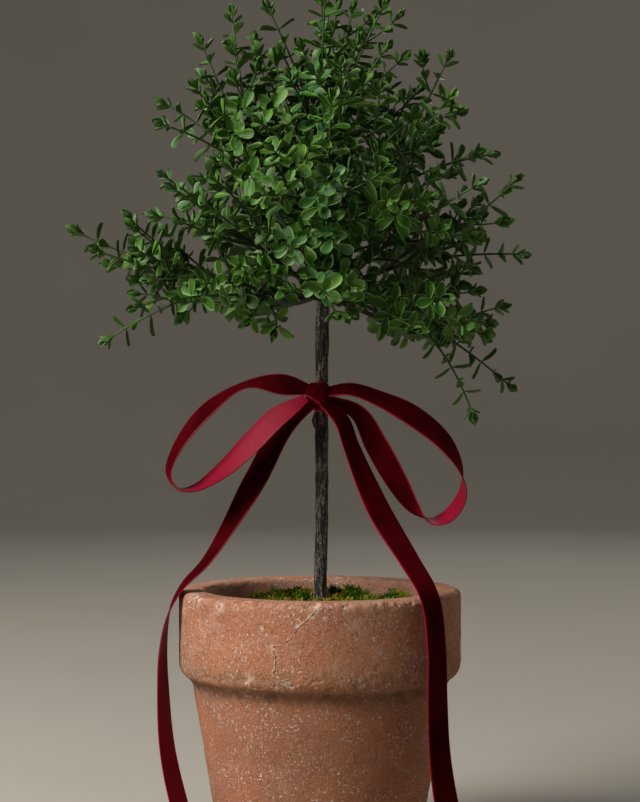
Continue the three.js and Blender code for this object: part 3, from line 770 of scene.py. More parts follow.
def frond(bundle, foot, reach, lean, bearing, draw):
    """One moss frond: a bent spine with three pairs of leaflets."""
    along = np.array([math.cos(bearing), math.sin(bearing), 0.0])
    aside = np.array([-along[1], along[0], 0.0])
    up = np.array([0.0, 0.0, 1.0])
    axis = along * math.sin(lean) + up * math.cos(lean)
    rise = unit(up * math.sin(lean) - along * math.cos(lean) + 0.01 * aside)
    tip = foot + axis * reach
    bundle.add(*dart(foot, tip, rise, 0.06 * reach, 0.08 * reach))
    for share, size in ((0.36, 0.46), (0.60, 0.42), (0.84, 0.32)):
        root = foot + axis * reach * share + rise * reach * 0.32 * share * (1 - share)
        for side in (-1, 1):
            out = unit(axis * 0.75 + aside * side * 0.72 + rise * draw(-0.1, 0.45))
            bundle.add(*dart(root, root + out * size * reach, rise, 0.065 * reach))


CRUMB_SEED, MOSS_SEED = 4100, 5200
BED_SEGMENTS = 128
# The mound of moss, as share of its radius and share of its rise there
MOSS_MOUND = [(0, 1), (0.5, 1), (0.8, 0.95), (0.95, 0.6), (1, 0.2)]
# Lift of the moss from left to right, as x and height in millimetres
MOSS_RISE = [
    (-45, -2.0), (-36, -0.2), (-30, -1.6), (-14, -2.2), (-8, -4.2), (3, -4.2), (12, -3.8), (17, -2.2),
    (21, -3.0), (22, -9), (36, -9), (40, -1.8), (44, -0.8), (48, -2.2), (54, -4.0),
]


class TOPIARY_OT_filling(bpy.types.Operator):
    """Fills the pot with earth and lays the moss round the stem"""
    bl_idname = "topiary.filling"
    bl_label = "Earth and moss"

    def execute(self, context):
        filling = context.scene.topiary_filling
        self.earth(filling)
        self.crumbs(filling)
        self.moss(filling)
        self.fronds(filling)
        return {"FINISHED"}

    def earth(self, filling):
        shoulder, taper = 3 * MM, 0.15
        foot, edge, top = EARTH_LOW.z, EARTH_HIGH.z - shoulder, EARTH_HIGH.z
        radius = EARTH_HIGH.x
        narrow = radius - (edge - foot) * taper
        rings = [(narrow, foot), (radius, edge)]
        rings += [(radius * share, top - shoulder * smooth(0.86, 1.0, share)) for share in
                  (0.98, 0.95, 0.91, 0.86, 0.8, 0.73, 0.66, 0.58, 0.5, 0.4, 0.3, 0.2, 0.1)]
        piece = turned("earth_bed", rings, BED_SEGMENTS)
        points = places(piece.data)
        upper = smooth(edge - MM, edge + MM, points[:, 2])
        points[:, 2] += upper * (field(points, 110) * 1.2 * MM + field(points, 420) * 0.5 * MM - 0.6 * MM)
        move(piece.data, points)
        finished(piece, ["earth"], [earth_finish(filling)], angle=80)

    def crumbs(self, filling):
        """Loose crumbs round the edge that the moss leaves bare."""
        draw = draws(CRUMB_SEED)
        lump = begin("crumb", bpy.ops.mesh.primitive_ico_sphere_add, subdivisions=1, radius=1)
        shape = places(lump.data)
        faces = [tuple(face.vertices) for face in lump.data.polygons]
        bpy.data.objects.remove(lump)
        bundle = Bundle()
        for _ in range(filling.crumbs):
            bearing = draw(0, 2 * math.pi)
            radius = (EARTH_HIGH.x - 2.5 * MM) * math.sqrt(draw(0.28, 1))
            size = draw(0.45, 1.5) * MM
            ragged = 1 + 0.45 * field(shape + draw(0, 90), 1.3, 2)
            stretch = np.array([draw(0.7, 1.3), draw(0.7, 1.3), draw(0.5, 0.9)])
            place = [radius * math.cos(bearing), radius * math.sin(bearing), EARTH_HIGH.z - 0.5 * MM]
            place[2] -= 2.4 * MM * smooth(0.88, 1.0, radius / EARTH_HIGH.x)
            bundle.add(shape * ragged[:, None] * stretch * size + place, faces)
        finished(bundle.joined("earth_crumbs"), ["earth"], [earth_finish(filling)], angle=30)

    def moss_height(self, share):
        """Height of the mound at a share of its radius."""
        return MOSS_LOW.z + (MOSS_HIGH.z - MOSS_LOW.z) * between(MOSS_MOUND, share)

    def rise(self, across):
        """Lift of the moss by x: high at the left, low by the stem and open at one place on the right."""
        return between(MOSS_RISE, across / MM) * MM

    def moss(self, filling):
        rings = [(MOSS_RADIUS * 0.97, MOSS_LOW.z - 1.5 * MM), (MOSS_RADIUS, MOSS_LOW.z + 0.5 * MM)]
        rings += [(MOSS_RADIUS * share, float(self.moss_height(share))) for share in
                  (0.96, 0.91, 0.85, 0.78, 0.7, 0.62, 0.53, 0.44, 0.35, 0.26, 0.17, 0.08)]
        piece = turned("moss_bed", rings, BED_SEGMENTS)
        points = places(piece.data)
        upper = smooth(MOSS_LOW.z, MOSS_LOW.z + 3 * MM, points[:, 2])
        lift = np.minimum(self.rise(points[:, 0] + MOSS_MIDDLE), 0.0)
        points[:, 2] += upper * (field(points, 70) * 1.6 * MM + field(points, 260) * 0.8 * MM + 0.7 * lift)
        points[:, 0] += MOSS_MIDDLE
        move(piece.data, points)
        finished(piece, ["moss"], [moss_bed_finish(filling)], angle=80)

    def fronds(self, filling):
        """Clumps of curled fronds all over the mound, in three tints dealt out by clump."""
        draw = draws(MOSS_SEED)
        tints = {"green": filling.moss_green, "gold": filling.moss_gold, "deep": filling.moss_deep}
        bundles = {name: Bundle() for name in tints}
        by_stem = np.array([7.5, 8.0]) * MM
        self.clump(bundles["deep"], by_stem, 4.2 * MM, 2 * filling.clump_fronds, 0.55, draw)
        for index in range(filling.clumps):
            share = math.sqrt((index + 0.5) / filling.clumps)
            bearing = math.radians(GOLDEN_ANGLE) * index + draw(-0.3, 0.3)
            outward = np.array([math.cos(bearing), math.sin(bearing)])
            place = np.array([MOSS_MIDDLE, 0.0]) + MOSS_RADIUS * share * outward
            choice = draw() + 0.25 * noise.fractal((place[0] * 60, place[1] * 60, 3.0), 1.0, 2.0, 2)
            name = "gold" if choice > 0.54 else "green" if choice > 0.20 else "deep"
            lift = draw(-2.0, 0.6) * MM + (self.rise(place[0]) if place[1] > -2 * MM else -6.5 * MM)
            self.clump(bundles[name], place, lift, filling.clump_fronds, 1.0, draw)
        for name, bundle in bundles.items():
            finish = Finish(f"moss_{name}", base_color=tints[name], roughness=0.8, specular_ior_level=0.12)
            finish.relief(finish.grain(2500, 2), 0.1 * MM)
            finished(bundle.joined(f"moss_fronds_{name}"), ["moss"], [finish.material], angle=30)

    def clump(self, bundle, middle, lift, total, scale, draw):
        """Fronds that lean out from the middle of one clump."""
        reach = bpy.context.scene.topiary_filling.frond_length * scale
        spread = 4.6 * MM * scale
        for _ in range(total):
            bearing = draw(0, 2 * math.pi)
            away = draw(0, 1)
            x, y = middle + spread * away * np.array([math.cos(bearing), math.sin(bearing)])
            share = min(1.0, math.hypot(x - MOSS_MIDDLE, y) / MOSS_RADIUS)
            foot = np.array([x, y, float(self.moss_height(share)) + lift * (1 - 0.5 * away) - 1.0 * MM])
            lean = 0.1 + 0.75 * away + draw(-0.15, 0.3)
            frond(bundle, foot, reach * draw(0.55, 1.15), lean, bearing + draw(-0.7, 0.7), draw)


# Bark


def bark_finish(plant):
    """Furrowed dark bark with grey ridges and pale flecks."""
    finish = Finish("dark_bark", specular_ior_level=0.3)
    ridge = finish.mark("ridge")
    streaks = finish.level(finish.grain(1, 4, 0.6, (1400, 1400, 190)), 0.36, 0.68)
    base = finish.mix(ridge * 0.75 + streaks * 0.25, plant.bark_dark, plant.bark)
    flecks = finish.level(finish.grain(1, 3, 0.6, (2000, 2000, 1000)), 0.44, 0.62)
    crusts = finish.level(finish.grain(150, 3), 0.30, 0.56)
    base = finish.mix(flecks * crusts * finish.level(ridge, 0.15, 0.60) * 0.9, base, plant.bark_fleck)
    finish.paint(base, 0.72 - 0.15 * ridge)
    finish.relief(streaks * 0.6 + flecks * 0.5, 0.45 * MM)
    return finish.material


def bark_ridges(points, around):
    """Long ridges and short cross breaks, 0 in the furrows and 1 on the ridges."""
    turned_points = np.column_stack([around * 5.2 * MM, points[:, 2]])
    long_ridges = 1 - np.abs(field(turned_points, (520, 520, 62), 3)) * 2.6
    breaks = field(turned_points, (430, 430, 330), 2)
    return np.clip(0.62 * long_ridges + 0.35 * breaks + 0.12, 0, 1)


class TOPIARY_OT_wood(bpy.types.Operator):
    """Grows the barked stem and the short boughs of its head"""
    bl_idname = "topiary.wood"
    bl_label = "Stem and boughs"

    def execute(self, context):
        plant = context.scene.topiary_plant
        material = bark_finish(plant)
        self.stem(plant, material)
        self.boughs(material)
        return {"FINISHED"}

    def radius_at(self, height):
        """Radius of the stem: a flare at the foot, a nearly even shaft and the round head."""
        flare_height, flare_reach = 9 * MM, 1.55 * MM
        shaft_radius, shaft_swell = 3.45 * MM, 0.35 * MM
        head_radius = 0.82 * HEAD_RADIUS
        flare = flare_reach * (1 - smooth(0.0, flare_height, height - STEM_LOW.z))
        shaft = shaft_radius + shaft_swell * self.climb(height)
        head = np.sqrt(np.maximum(0.0, head_radius**2 - (height - HEAD[2]) ** 2))
        return np.maximum(np.where(height > HEAD[2], 0.0, shaft + flare), head)

    def climb(self, height):
        """Share of the stem's height, from 0 at its foot to 1 at its top."""
        return (height - STEM_LOW.z) / (STEM_HIGH.z - STEM_LOW.z)

    def stem(self, plant, material):
        sides, cuts = 48, 100
        knot_height, knot_reach, knot_swell = 235.5 * MM, 3.4 * MM, 1.7 * MM
        scar_height, scar_reach, scar_depth = 230.6 * MM, 1.1 * MM, 0.5 * MM
        foot_lean, top_lean = 0.2 * MM, 1.4 * MM
        foot, top = EARTH_HIGH.z - 2 * MM, HEAD[2] + 0.78 * HEAD_RADIUS
        piece = begin("bark_stem", bpy.ops.mesh.primitive_cylinder_add, vertices=sides, radius=4 * MM,
                      depth=top - foot, location=(0, 0, (top + foot) / 2))
        mesh = piece.data

        def upright(edge):
            low, high = (mesh.vertices[corner].co.z for corner in edge.vertices)
            return abs(low - high) > MM

        divide(piece, "edges", "EDGE", upright, cuts)
        bpy.ops.object.mode_set(mode="EDIT")
        close(piece)
        points = places(mesh)
        around = unit(points[:, :2])
        height = points[:, 2]
        ridges = bark_ridges(points, around)
        radius = self.radius_at(height) + (ridges - 0.6) * plant.ridge_depth
        left = np.clip(-around[:, 0], 0, 1)
        knot = np.exp(-((height - knot_height) / knot_reach) ** 2) * left**2
        scar = np.exp(-((height - scar_height) / scar_reach) ** 2) * left
        radius += knot_swell * knot - scar_depth * scar
        radius += 0.25 * MM * field(np.column_stack([around * 2 * MM, height]), 55, 2)
        lean = foot_lean + top_lean * self.climb(height)
        sway = 0.35 * MM * np.sin(height * 42)
        points[:, :2] = around * radius[:, None]
        points[:, 0] += lean + sway * smooth(STEM_LOW.z, STEM_LOW.z + 30 * MM, height)
        move(mesh, points)
        mark(mesh, "ridge", ridges * (1 - 0.6 * scar))
        finished(piece, ["stem"], [material], angle=80)

    def boughs(self, material):
        steps, sides = 12, 10
        bundle = Bundle()
        shares = np.linspace(0, 1, steps)
        for bearing, climb, reach in BOUGHS:
            own = bough_direction(bearing, climb)
            path = HEAD + own * (0.25 * reach * MM * shares)[:, None]
            points, faces = tube(path, (1.75 - 0.70 * shares) * MM, sides)
            spine = np.repeat(path, sides, axis=0)
            rough = 1 + 0.22 * field(points, (480, 480, 300), 2)
            bundle.add(spine + (points - spine) * rough[:, None], faces)
        piece = bundle.joined("bark_boughs")
        # The boughs take low ridge values, so their bark is mostly the dark furrow colour: painted shade of
        # the head over them.
        mark(piece.data, "ridge", np.clip(0.02 + 0.2 * field(places(piece.data), 500, 2), 0, 1))
        finished(piece, BOUGH_NODES, [material], angle=80)


# Sprigs


def bough_direction(bearing, climb):
    bearing, climb = math.radians(bearing), math.radians(climb)
    level = math.cos(climb)
    return np.array([level * math.cos(bearing), level * math.sin(bearing), math.sin(climb)])


def sideways(direction, turn):
    """A direction square to another one, at an angle about it."""
    if abs(direction[2]) > 0.99:
        level = unit(np.array([1.0, 0, 0]) - direction * direction[0])
    else:
        level = unit(np.cross([0, 0, 1.0], direction))
    upright = np.cross(direction, level)
    return level * math.cos(math.radians(turn)) + upright * math.sin(math.radians(turn))


class Shoot:
    """One twig: its path, with the place and direction at any distance from its tip."""

    def __init__(self, foot, bend, tip, steps):
        shares = np.linspace(0, 1, steps)[:, None]
        self.path = foot * (1 - shares) ** 2 + bend * 2 * shares * (1 - shares) + tip * shares**2
        self.gone = np.concatenate([[0], np.cumsum(np.linalg.norm(np.diff(self.path, axis=0), axis=1))])
        self.length = self.gone[-1]

    def at(self, from_tip):
        """Place and direction at a distance from the tip."""
        gone = self.length - from_tip
        place = np.array([np.interp(gone, self.gone, self.path[:, axis]) for axis in range(3)])
        step = min(max(int(np.searchsorted(self.gone, gone)) - 1, 0), len(self.path) - 2)
        return place, unit(self.path[step + 1] - self.path[step])


# Leaf outlines: share of the length and half width there, from base to tip
ROUND_LEAF = [(0.26, 0.24), (0.50, 0.42), (0.72, 0.50), (0.89, 0.41), (0.97, 0.23)]
YOUNG_LEAF = [(0.22, 0.27), (0.44, 0.47), (0.64, 0.49), (0.83, 0.33), (0.95, 0.13)]
BUD_LEAF = [(0.18, 0.34), (0.38, 0.50), (0.60, 0.48), (0.82, 0.28), (0.95, 0.10)]


class LeafShape:
    """A closed dished leaf with a grooved middle and a raised margin, one unit long and one wide."""

    def __init__(self, outline, curl, cup, rimmed=True):
        columns = [-1.0, -0.72, 0.0, 0.72, 1.0]
        lifts = [0.034, 0.018, -0.030, 0.018, 0.034]
        keel_drop, tip_lift = 0.085, 0.035
        keel = len(columns)
        right, row = keel - 1, keel + 1
        blade, under, margin = 0, 1, 2 if rimmed else 0
        kinds = (margin, blade, blade, margin)
        points = [(0.0, 0.0, 0.0)]
        for share, width in outline:
            bent = -curl * share**2
            for column, lift in zip(columns, lifts):
                points.append((width * column, share, bent + lift + cup * (column * width) ** 2))
            points.append((0.0, share, bent - keel_drop))
        tip = len(points)
        points.append((0.0, 1.0, tip_lift - curl))
        self.points = np.array(points)
        self.faces, self.slots = [], []
        for column, kind in enumerate(kinds):
            self.face(kind, 0, 2 + column, 1 + column)
        self.face(under, 0, 1, 1 + keel)
        self.face(under, 0, 1 + keel, 1 + right)
        for low in range(1, tip - row, row):
            high = low + row
            for column, kind in enumerate(kinds):
                self.face(kind, low + column, low + column + 1, high + column + 1, high + column)
            self.face(under, low, high, high + keel, low + keel)
            self.face(under, low + keel, high + keel, high + right, low + right)
        last = tip - row
        for column in range(right):
            self.face(margin, last + column, last + column + 1, tip)
        self.face(under, last, tip, last + keel)
        self.face(under, last + keel, tip, last + right)

    def face(self, slot, *corners):
        self.faces.append(corners)
        self.slots.append(slot)


# Reach of the head seen from the front, as angle in degrees from the right and distance in millimetres
OUTLINE = [
    (-90, 60), (-30, 72), (-20, 92), (-10, 84), (0, 76), (10, 82), (30, 104), (50, 108), (70, 132),
    (90, 165), (100, 148), (120, 130), (140, 104), (150, 95), (170, 90), (190, 74), (270, 60),
]
# Underside of the head seen from the front: height of the lowest leaves by x, in millimetres
UNDERSIDE = [
    (-140, 292), (-97, 292), (-86, 300), (-74, 291), (-62, 297), (-50, 290), (-38, 296), (-26, 292),
    (-12, 300), (0, 295), (8, 292), (18, 298), (24, 291), (32, 280), (48, 275), (58, 280), (70, 274),
    (84, 284), (92, 276), (100, 284), (140, 290),
]
# Single sprigs that stand out: angle and distance as above, and depth of the tip behind the stem
LONG_SPRIGS = [
    (-64, 20, -50), (-40, 24, -46), (-39, 108, -10), (-26, 118, 8), (-15, 94, -25),
    (-15, 82, -36), (-11, 90, 20), (8, 84, -36), (11, 114, -5), (20, 91, -22), (30, 123, -20),
    (31, 103, 8), (40, 125, 15), (51, 57, -85), (55, 113, 4), (57, 128, -22), (61, 103, -45),
    (62, 150, 5), (71, 138, -10), (73, 128, 14), (76, 128, 20), (78, 160, -18), (80, 152, 8),
    (82, 138, -25), (84, 158, -8), (86, 56, -90), (89, 169, 0), (92, 89, -65), (97, 128, 10),
    (99, 118, -30), (100, 136, -12), (101, 159, -15), (103, 128, 12), (104, 65, -85), (105, 150, 16),
    (106, 102, -50), (108, 166, 8), (110, 146, -6), (115, 108, -42), (116, 155, -8), (119, 141, 10),
    (121, 96, -58), (122, 134, -16), (125, 71, -80), (130, 140, 0), (134, 127, -24), (143, 114, 18),
    (156, 102, -28), (158, 98, 6), (159, 116, -12), (161, 112, -16), (165, 34, -55), (166, 49, -55),
    (166, 142, -4), (168, 104, -35), (170, 126, -26), (172, 123, 10), (176, 104, -18),
    (185, 105, -20), (186, 26, -45), (192, 125, 4), (203, 47, -40), (221, 38, -42),
]
# Sprigs that fill the back of the head, in the same terms
BACK_SPRIGS = [
    (-25, 45, 66), (-8, 62, 58), (12, 60, 72), (28, 72, 62), (51, 57, 82), (58, 90, 48), (72, 76, 72),
    (86, 56, 88), (92, 86, 64), (104, 65, 84), (106, 94, 52), (121, 84, 58), (125, 66, 78), (150, 72, 64),
    (166, 49, 66), (175, 55, 66), (188, 55, 58), (200, 40, 66),
]
# Leaf pairs at a tip, spread as a rosette that faces out or drawn in to a spike: gaps from one pair to the
# next in millimetres, each pair's angle from the twig in degrees and its share of the full size
ROSETTE_GAPS, SPIKE_GAPS = (0.9, 1.7, 2.6, 4.4, 6.2), (0.8, 1.5, 2.6, 7.6)
ROSETTE_ANGLES, SPIKE_ANGLES = (10, 34, 54, 64, 70, 76), (10, 30, 46, 54, 62, 68)
ROSETTE_SIZES, SPIKE_SIZES = (0.42, 0.56, 0.74, 0.90, 0.96, 0.98), (0.48, 0.52, 0.56, 0.70, 0.86, 0.96)
BUD_LENGTH = 5.0 * MM
# Radii of a twig at its foot and tip in millimetres
LEADER_RADII, TWIG_RADII, INNER_RADII, SIDE_RADII = (1.05, 0.55), (0.85, 0.50), (0.80, 0.50), (0.55, 0.40)
# Share of a twig, from its foot, that has no leaves
LOW_LEADER_BARE, HIGH_LEADER_BARE, TWIG_BARE, INNER_BARE, SIDE_BARE = 0.20, 0.48, 0.42, 0.28, 0.25
LONG_BARE, OUTER_BARE, CLUSTER_BARE = 0.25, 0.40, 0.58
# A sprig whose tip lies further than this in front of or behind the stem bends to face out
FACING_DEPTH = 38 * MM
# Space of the bow, which leaves keep out of
BOW_LOW = np.array([-90, -36, 176]) * MM
BOW_HIGH = np.array([86, 8, 263]) * MM
# Leaf tints; deep, blue and fresh are dealt partly by place as painted shade, sheen and light.
TINTS = ("deep", "green", "blue", "fresh")
LEADER_SEED, INNER_SEED, LONG_SEED = 9000, 6000, 7000


class TOPIARY_OT_sprigs(bpy.types.Operator):
    """Grows leaders, twigs, side shoots and leaves on each bough"""
    bl_idname = "topiary.sprigs"
    bl_label = "Sprigs and leaves"

    def execute(self, context):
        self.plant = context.scene.topiary_plant
        self.shapes = {
            "open": LeafShape(ROUND_LEAF, 0.08, 0.16),
            "hooked": LeafShape(ROUND_LEAF, 0.18, 0.08),
            "young": LeafShape(YOUNG_LEAF, -0.06, 0.28),
            "bud": LeafShape(BUD_LEAF, -0.48, 0.70, False),
            "core": LeafShape(BUD_LEAF, -0.16, 0.70, False),
        }
        self.leaves = {(tint, shape): [] for tint in TINTS for shape in self.shapes}
        self.green, self.woody = Bundle(), Bundle()
        self.leaders = []
        self.hanging = False
        for index, (bearing, climb, reach) in enumerate(BOUGHS):
            self.grow(index, bough_direction(bearing, climb), reach * MM)
        for index, (angle, distance, depth) in enumerate(LONG_SPRIGS + BACK_SPRIGS):
            self.stand_out(index, math.radians(angle), distance * MM, depth * MM)
        self.join_leaves()
        self.join_twigs()
        return {"FINISHED"}

    def underside(self, place):
        return between(UNDERSIDE, place[0] / MM) * MM

    def sunk(self, tip):
        """Whether a tip would hang well below the underside of the head."""
        return tip[2] < self.underside(tip) - 3 * MM

    def inside_outline(self, tip, share=1.0):
        """Lifts a tip to the head's underside and draws it back to a share of its outline from the front."""
        tip = np.array([tip[0], tip[1], max(tip[2], self.underside(tip) + 5 * MM)])
        across, up = tip[0] - HEAD[0], tip[2] - HEAD[2]
        angle = math.degrees(math.atan2(up, across))
        angle += 360 if angle < OUTLINE[0][0] else 0
        limit = between(OUTLINE, angle) * MM - BUD_LENGTH
        beyond = math.hypot(across, up) / limit
        return HEAD + (tip - HEAD) * (share / beyond if beyond > 1 else 1.0)

    def grow(self, index, own, reach):
        """One mass: its leader straight on from the bough, and the twigs that fork from it."""
        first_twigs, leaf_of_solids = 4, 21.5 * 0.72 * MM
        foot = HEAD + own * (reach * 0.22 + 0.3 * MM)
        tip = self.inside_outline(HEAD + own * (reach - 0.8 * leaf_of_solids + BUD_LENGTH))
        arch = 0.05 * reach * (sideways(own, GOLDEN_ANGLE * index) + np.array([0, 0, 1.0]))
        bare = HIGH_LEADER_BARE if own[2] > 0.2 else LOW_LEADER_BARE
        route = foot, (foot + tip) / 2 + arch, tip
        leader = self.twig(route, LEADER_RADII, 0.6, draws(LEADER_SEED + index), bare)
        self.leaders.append((own, leader))
        lowest = math.sin(math.asin(own[2]) - math.radians(10))
        left_out = self.left_out(own[0])
        for twig in range(self.plant.twigs - left_out):
            draw = draws(100 * (index + 1) + twig + 1)
            fork = 0.06 + 0.36 * ((twig * GOLDEN_SHARE) % 1)
            turn = GOLDEN_ANGLE * twig + 360 * ((index * GOLDEN_SHARE) % 1) + 40 * draw()
            later = twig >= first_twigs
            spread = math.radians(draw(13, 23) if later else draw(7, 16.5))
            share = draw(0.62, 0.92) if later else draw(0.8, 1)
            aside = sideways(own, turn)
            direction = own * math.cos(spread) + aside * math.sin(spread)
            if later:
                direction[2] = max(direction[2], lowest)
                direction = unit(direction)
            start = leader.at(leader.length * (1 - fork))[0]
            aim = HEAD + direction * (reach * share - leaf_of_solids + BUD_LENGTH)
            if self.sunk(aim):
                continue
            end = self.inside_outline(aim, draw(0.74, 1.0))
            bend = start + (own + 0.6 * aside) * 0.4 * np.linalg.norm(end - start)
            self.twig((start, bend, end), TWIG_RADII, 0.45, draw, TWIG_BARE)
        for twig in range(self.plant.inner_twigs - (left_out > 3)):
            self.fill_in(index, twig, own, reach, leader)

    def left_out(self, across):
        """Twigs that a mass goes without, because the head is open at its left and right."""
        if across < -0.45:
            return 6 if across < -0.9 else 4
        return 3 if across > 0.6 else 0

    def fill_in(self, index, twig, own, reach, leader):
        """One short twig near the foot of a leader, turned well away from it."""
        draw = draws(INNER_SEED + 10 * index + twig)
        turn = 120 * twig + 360 * ((index * GOLDEN_SHARE) % 1) + draw(-25, 25)
        spread = math.radians(draw(26, 46))
        aside = sideways(own, turn)
        direction = own * math.cos(spread) + aside * math.sin(spread)
        start = leader.at(leader.length * draw(0.88, 1.0))[0]
        aim = HEAD + direction * reach * draw(0.50, 0.74)
        end = self.inside_outline(aim)
        if self.free(end) and not self.sunk(aim):
            bend = start + (own + direction) * 0.22 * np.linalg.norm(end - start)
            self.twig((start, bend, end), INNER_RADII, 0.45, draw, INNER_BARE)

    def stand_out(self, index, angle, distance, depth):
        """One long sprig from the nearest leader to a tip that stands out of the head."""
        draw = draws(LONG_SEED + index)
        end = HEAD + np.array([math.cos(angle), 0, math.sin(angle)]) * (distance - BUD_LENGTH)
        end[1] = depth
        direction = unit(end - HEAD)
        own, leader = max(self.leaders, key=lambda found: np.dot(found[0], direction))
        start = leader.at(leader.length * draw(0.70, 0.92))[0]
        gap = np.linalg.norm(end - start)
        bend = start + (0.5 * own + 0.5 * direction) * 0.45 * gap
        facing, low = abs(depth) > FACING_DEPTH, end[2] < HEAD[2]
        if facing:
            above = 0.26 if low else 0.12
            bend = end - np.array([0.15 * math.cos(angle), math.copysign(0.42, depth), -above]) * gap
        if facing and low:
            bare = CLUSTER_BARE
        elif distance > 100 * MM and math.sin(angle) > -0.15:
            bare = OUTER_BARE
        else:
            bare = LONG_BARE
        self.hanging = True
        self.twig((start, bend, end), TWIG_RADII, 0.35, draw, bare)
        self.hanging = False

    def twig(self, route, thick, woody_share, draw, bare, forks=True, steps=14):
        """One leafy twig by its foot, bend and tip, its radii in millimetres and the bare share of it."""
        shoot = Shoot(*route, steps)
        self.bar(shoot, thick, woody_share)
        self.dress(shoot, draw, bare, forks)
        return shoot

    def bar(self, shoot, thick, woody_share):
        """The twig itself: at its foot young wood, its near-black colour partly painted shade inside the
        head, and green further out.
        """
        radii = np.linspace(*thick, len(shoot.path)) * MM
        cut = int(woody_share * len(shoot.path))
        if cut > 0:
            self.woody.add(*tube(shoot.path[:cut + 1], radii[:cut + 1], 6))
        self.green.add(*tube(shoot.path[cut:], radii[cut:], 6))

    def dress(self, shoot, draw, bare, forks):
        """Leaf pairs from the tip inwards, each a quarter turn from the last, with short side shoots."""
        inner_pair, shaded_pair, fork_chance, extra_chance = 5, 6, 0.12, 0.06
        tint = self.tint_of(shoot, draw)
        turn = draw(0, 90)
        from_tip = 0.4 * MM
        pair = 0
        rosette = abs(shoot.at(from_tip)[1][1]) > 0.5
        # Hanging rosettes are made brighter, fresh when low under the head, as painted light on leaves that
        # the head shades.
        if rosette and self.hanging:
            low = shoot.path[-1][2] < HEAD[2] + 5 * MM
            tint = "fresh" if low else "green" if tint == "deep" else tint
        gaps = ROSETTE_GAPS if rosette else SPIKE_GAPS
        while from_tip < shoot.length * (1 - bare):
            place, along = shoot.at(from_tip)
            for side in (0, 1):
                outward = sideways(along, turn + 90 * pair + 180 * side + draw(-9, 9))
                # Pairs far from the tip take the deep tint: old leaves and painted shade inside the head.
                self.leaf(tint if pair < shaded_pair else "deep", place, along, outward, pair, rosette, draw)
            inner = pair >= inner_pair
            if forks and inner and draw() < fork_chance:
                outward = sideways(along, turn + 90 * pair + 180 * int(draw() < 0.5))
                self.side_shoot(place, along, outward, draw)
            elif inner and draw() < extra_chance:
                for side in (0, 1):
                    outward = sideways(along, turn + 90 * pair + 180 * side + draw(20, 60))
                    self.leaf(tint, place, along, outward, 3, False, draw)
            from_tip += gaps[pair] * MM if pair < len(gaps) else self.plant.pair_spacing * draw(0.88, 1.12)
            pair += 1

    def side_shoot(self, place, along, outward, draw):
        reach = draw(14, 30) * MM
        lean = math.radians(draw(32, 48))
        end = place + reach * (along * math.cos(lean) + outward * math.sin(lean))
        bend = place + 0.5 * reach * (along * math.cos(lean * 1.3) + outward * math.sin(lean * 1.3))
        if self.free(end):
            self.twig((place, bend, end), SIDE_RADII, 0.0, draw, SIDE_BARE, forks=False, steps=6)

    def tint_of(self, shoot, draw):
        """The spray's tint, dealt by place as painted light and shade: fresh to the front, top and right as
        painted light, blue on the left as painted sheen, deep behind and below as painted shade.
        """
        place = shoot.path[-1] - HEAD
        bright = draw() - 0.04 + 1.9 * place[2] - 1.8 * place[1] + 1.3 * place[0]
        if draw() < 0.22 - 1.1 * place[0]:
            return "blue"
        return "fresh" if bright > 0.92 else "green" if bright > 0.42 else "deep"

    def free(self, place):
        """Clear of the bow, the stem and the space under the head."""
        if not self.hanging and place[2] < self.underside(place):
            return False
        in_bow = not self.hanging and np.all(place > BOW_LOW) and np.all(place < BOW_HIGH)
        by_stem = np.hypot(place[0] - HEAD[0], place[1]) < 6 * MM and place[2] < HEAD[2] - 4 * MM
        return not in_bow and not by_stem

    def leaf(self, tint, place, along, outward, pair, rosette, draw):
        """One leaf on its place, held closer to the twig and smaller towards the tip."""
        angles = ROSETTE_ANGLES if rosette else SPIKE_ANGLES
        sizes = ROSETTE_SIZES if rosette else SPIKE_SIZES
        step = min(pair, len(sizes) - 1)
        angle = math.radians(angles[step] + draw(-9, 9))
        size = sizes[step] * draw(0.84, 1.12)
        blade = along * math.cos(angle) + outward * math.sin(angle)
        across = np.cross(outward, along)
        twist = math.radians(draw(-16, 16))
        normal = np.cross(across, blade)
        across = across * math.cos(twist) + normal * math.sin(twist)
        normal = np.cross(across, blade)
        long = size * self.plant.leaf_length
        tip = place + blade * long
        if not (self.free(tip) and self.free((tip + place) / 2)):
            return
        shape = ("core", "bud", "young", "young")[step] if step < 4 else "open" if draw() < 0.6 else "hooked"
        wide = size * self.plant.leaf_width * (1.35 if step < 2 else draw(0.88, 1.08))
        self.leaves[tint, shape].append((place, np.array([across * wide, blade * long, normal * long])))

    def join_leaves(self):
        plant = self.plant
        under = Finish("leaf_underside", base_color=plant.underside, roughness=0.6).material
        for tint in TINTS:
            own_colour = getattr(plant, f"leaf_{tint}")
            halves = {"front": Bundle(), "back": Bundle()}
            for name, shape in self.shapes.items():
                for place, basis in self.leaves[tint, name]:
                    half = "front" if place[1] < 0 else "back"
                    halves[half].add(shape.points @ basis + place, shape.faces, shape.slots)
            pale = tuple(0.60 * own + 0.40 * rim for own, rim in zip(own_colour, plant.margin))
            blade = Finish(f"leaf_{tint}", base_color=own_colour, roughness=0.46, specular_ior_level=0.24)
            margin = Finish(f"margin_{tint}", base_color=pale, roughness=0.48, specular_ior_level=0.22)
            for half, bundle in halves.items():
                piece = bundle.joined(f"leaves_{tint}_{half}")
                finished(piece, SPRIG_NODES, [blade.material, under, margin.material], angle=50)

    def join_twigs(self):
        green = Finish("green_twig", base_color=self.plant.twig, roughness=0.6)
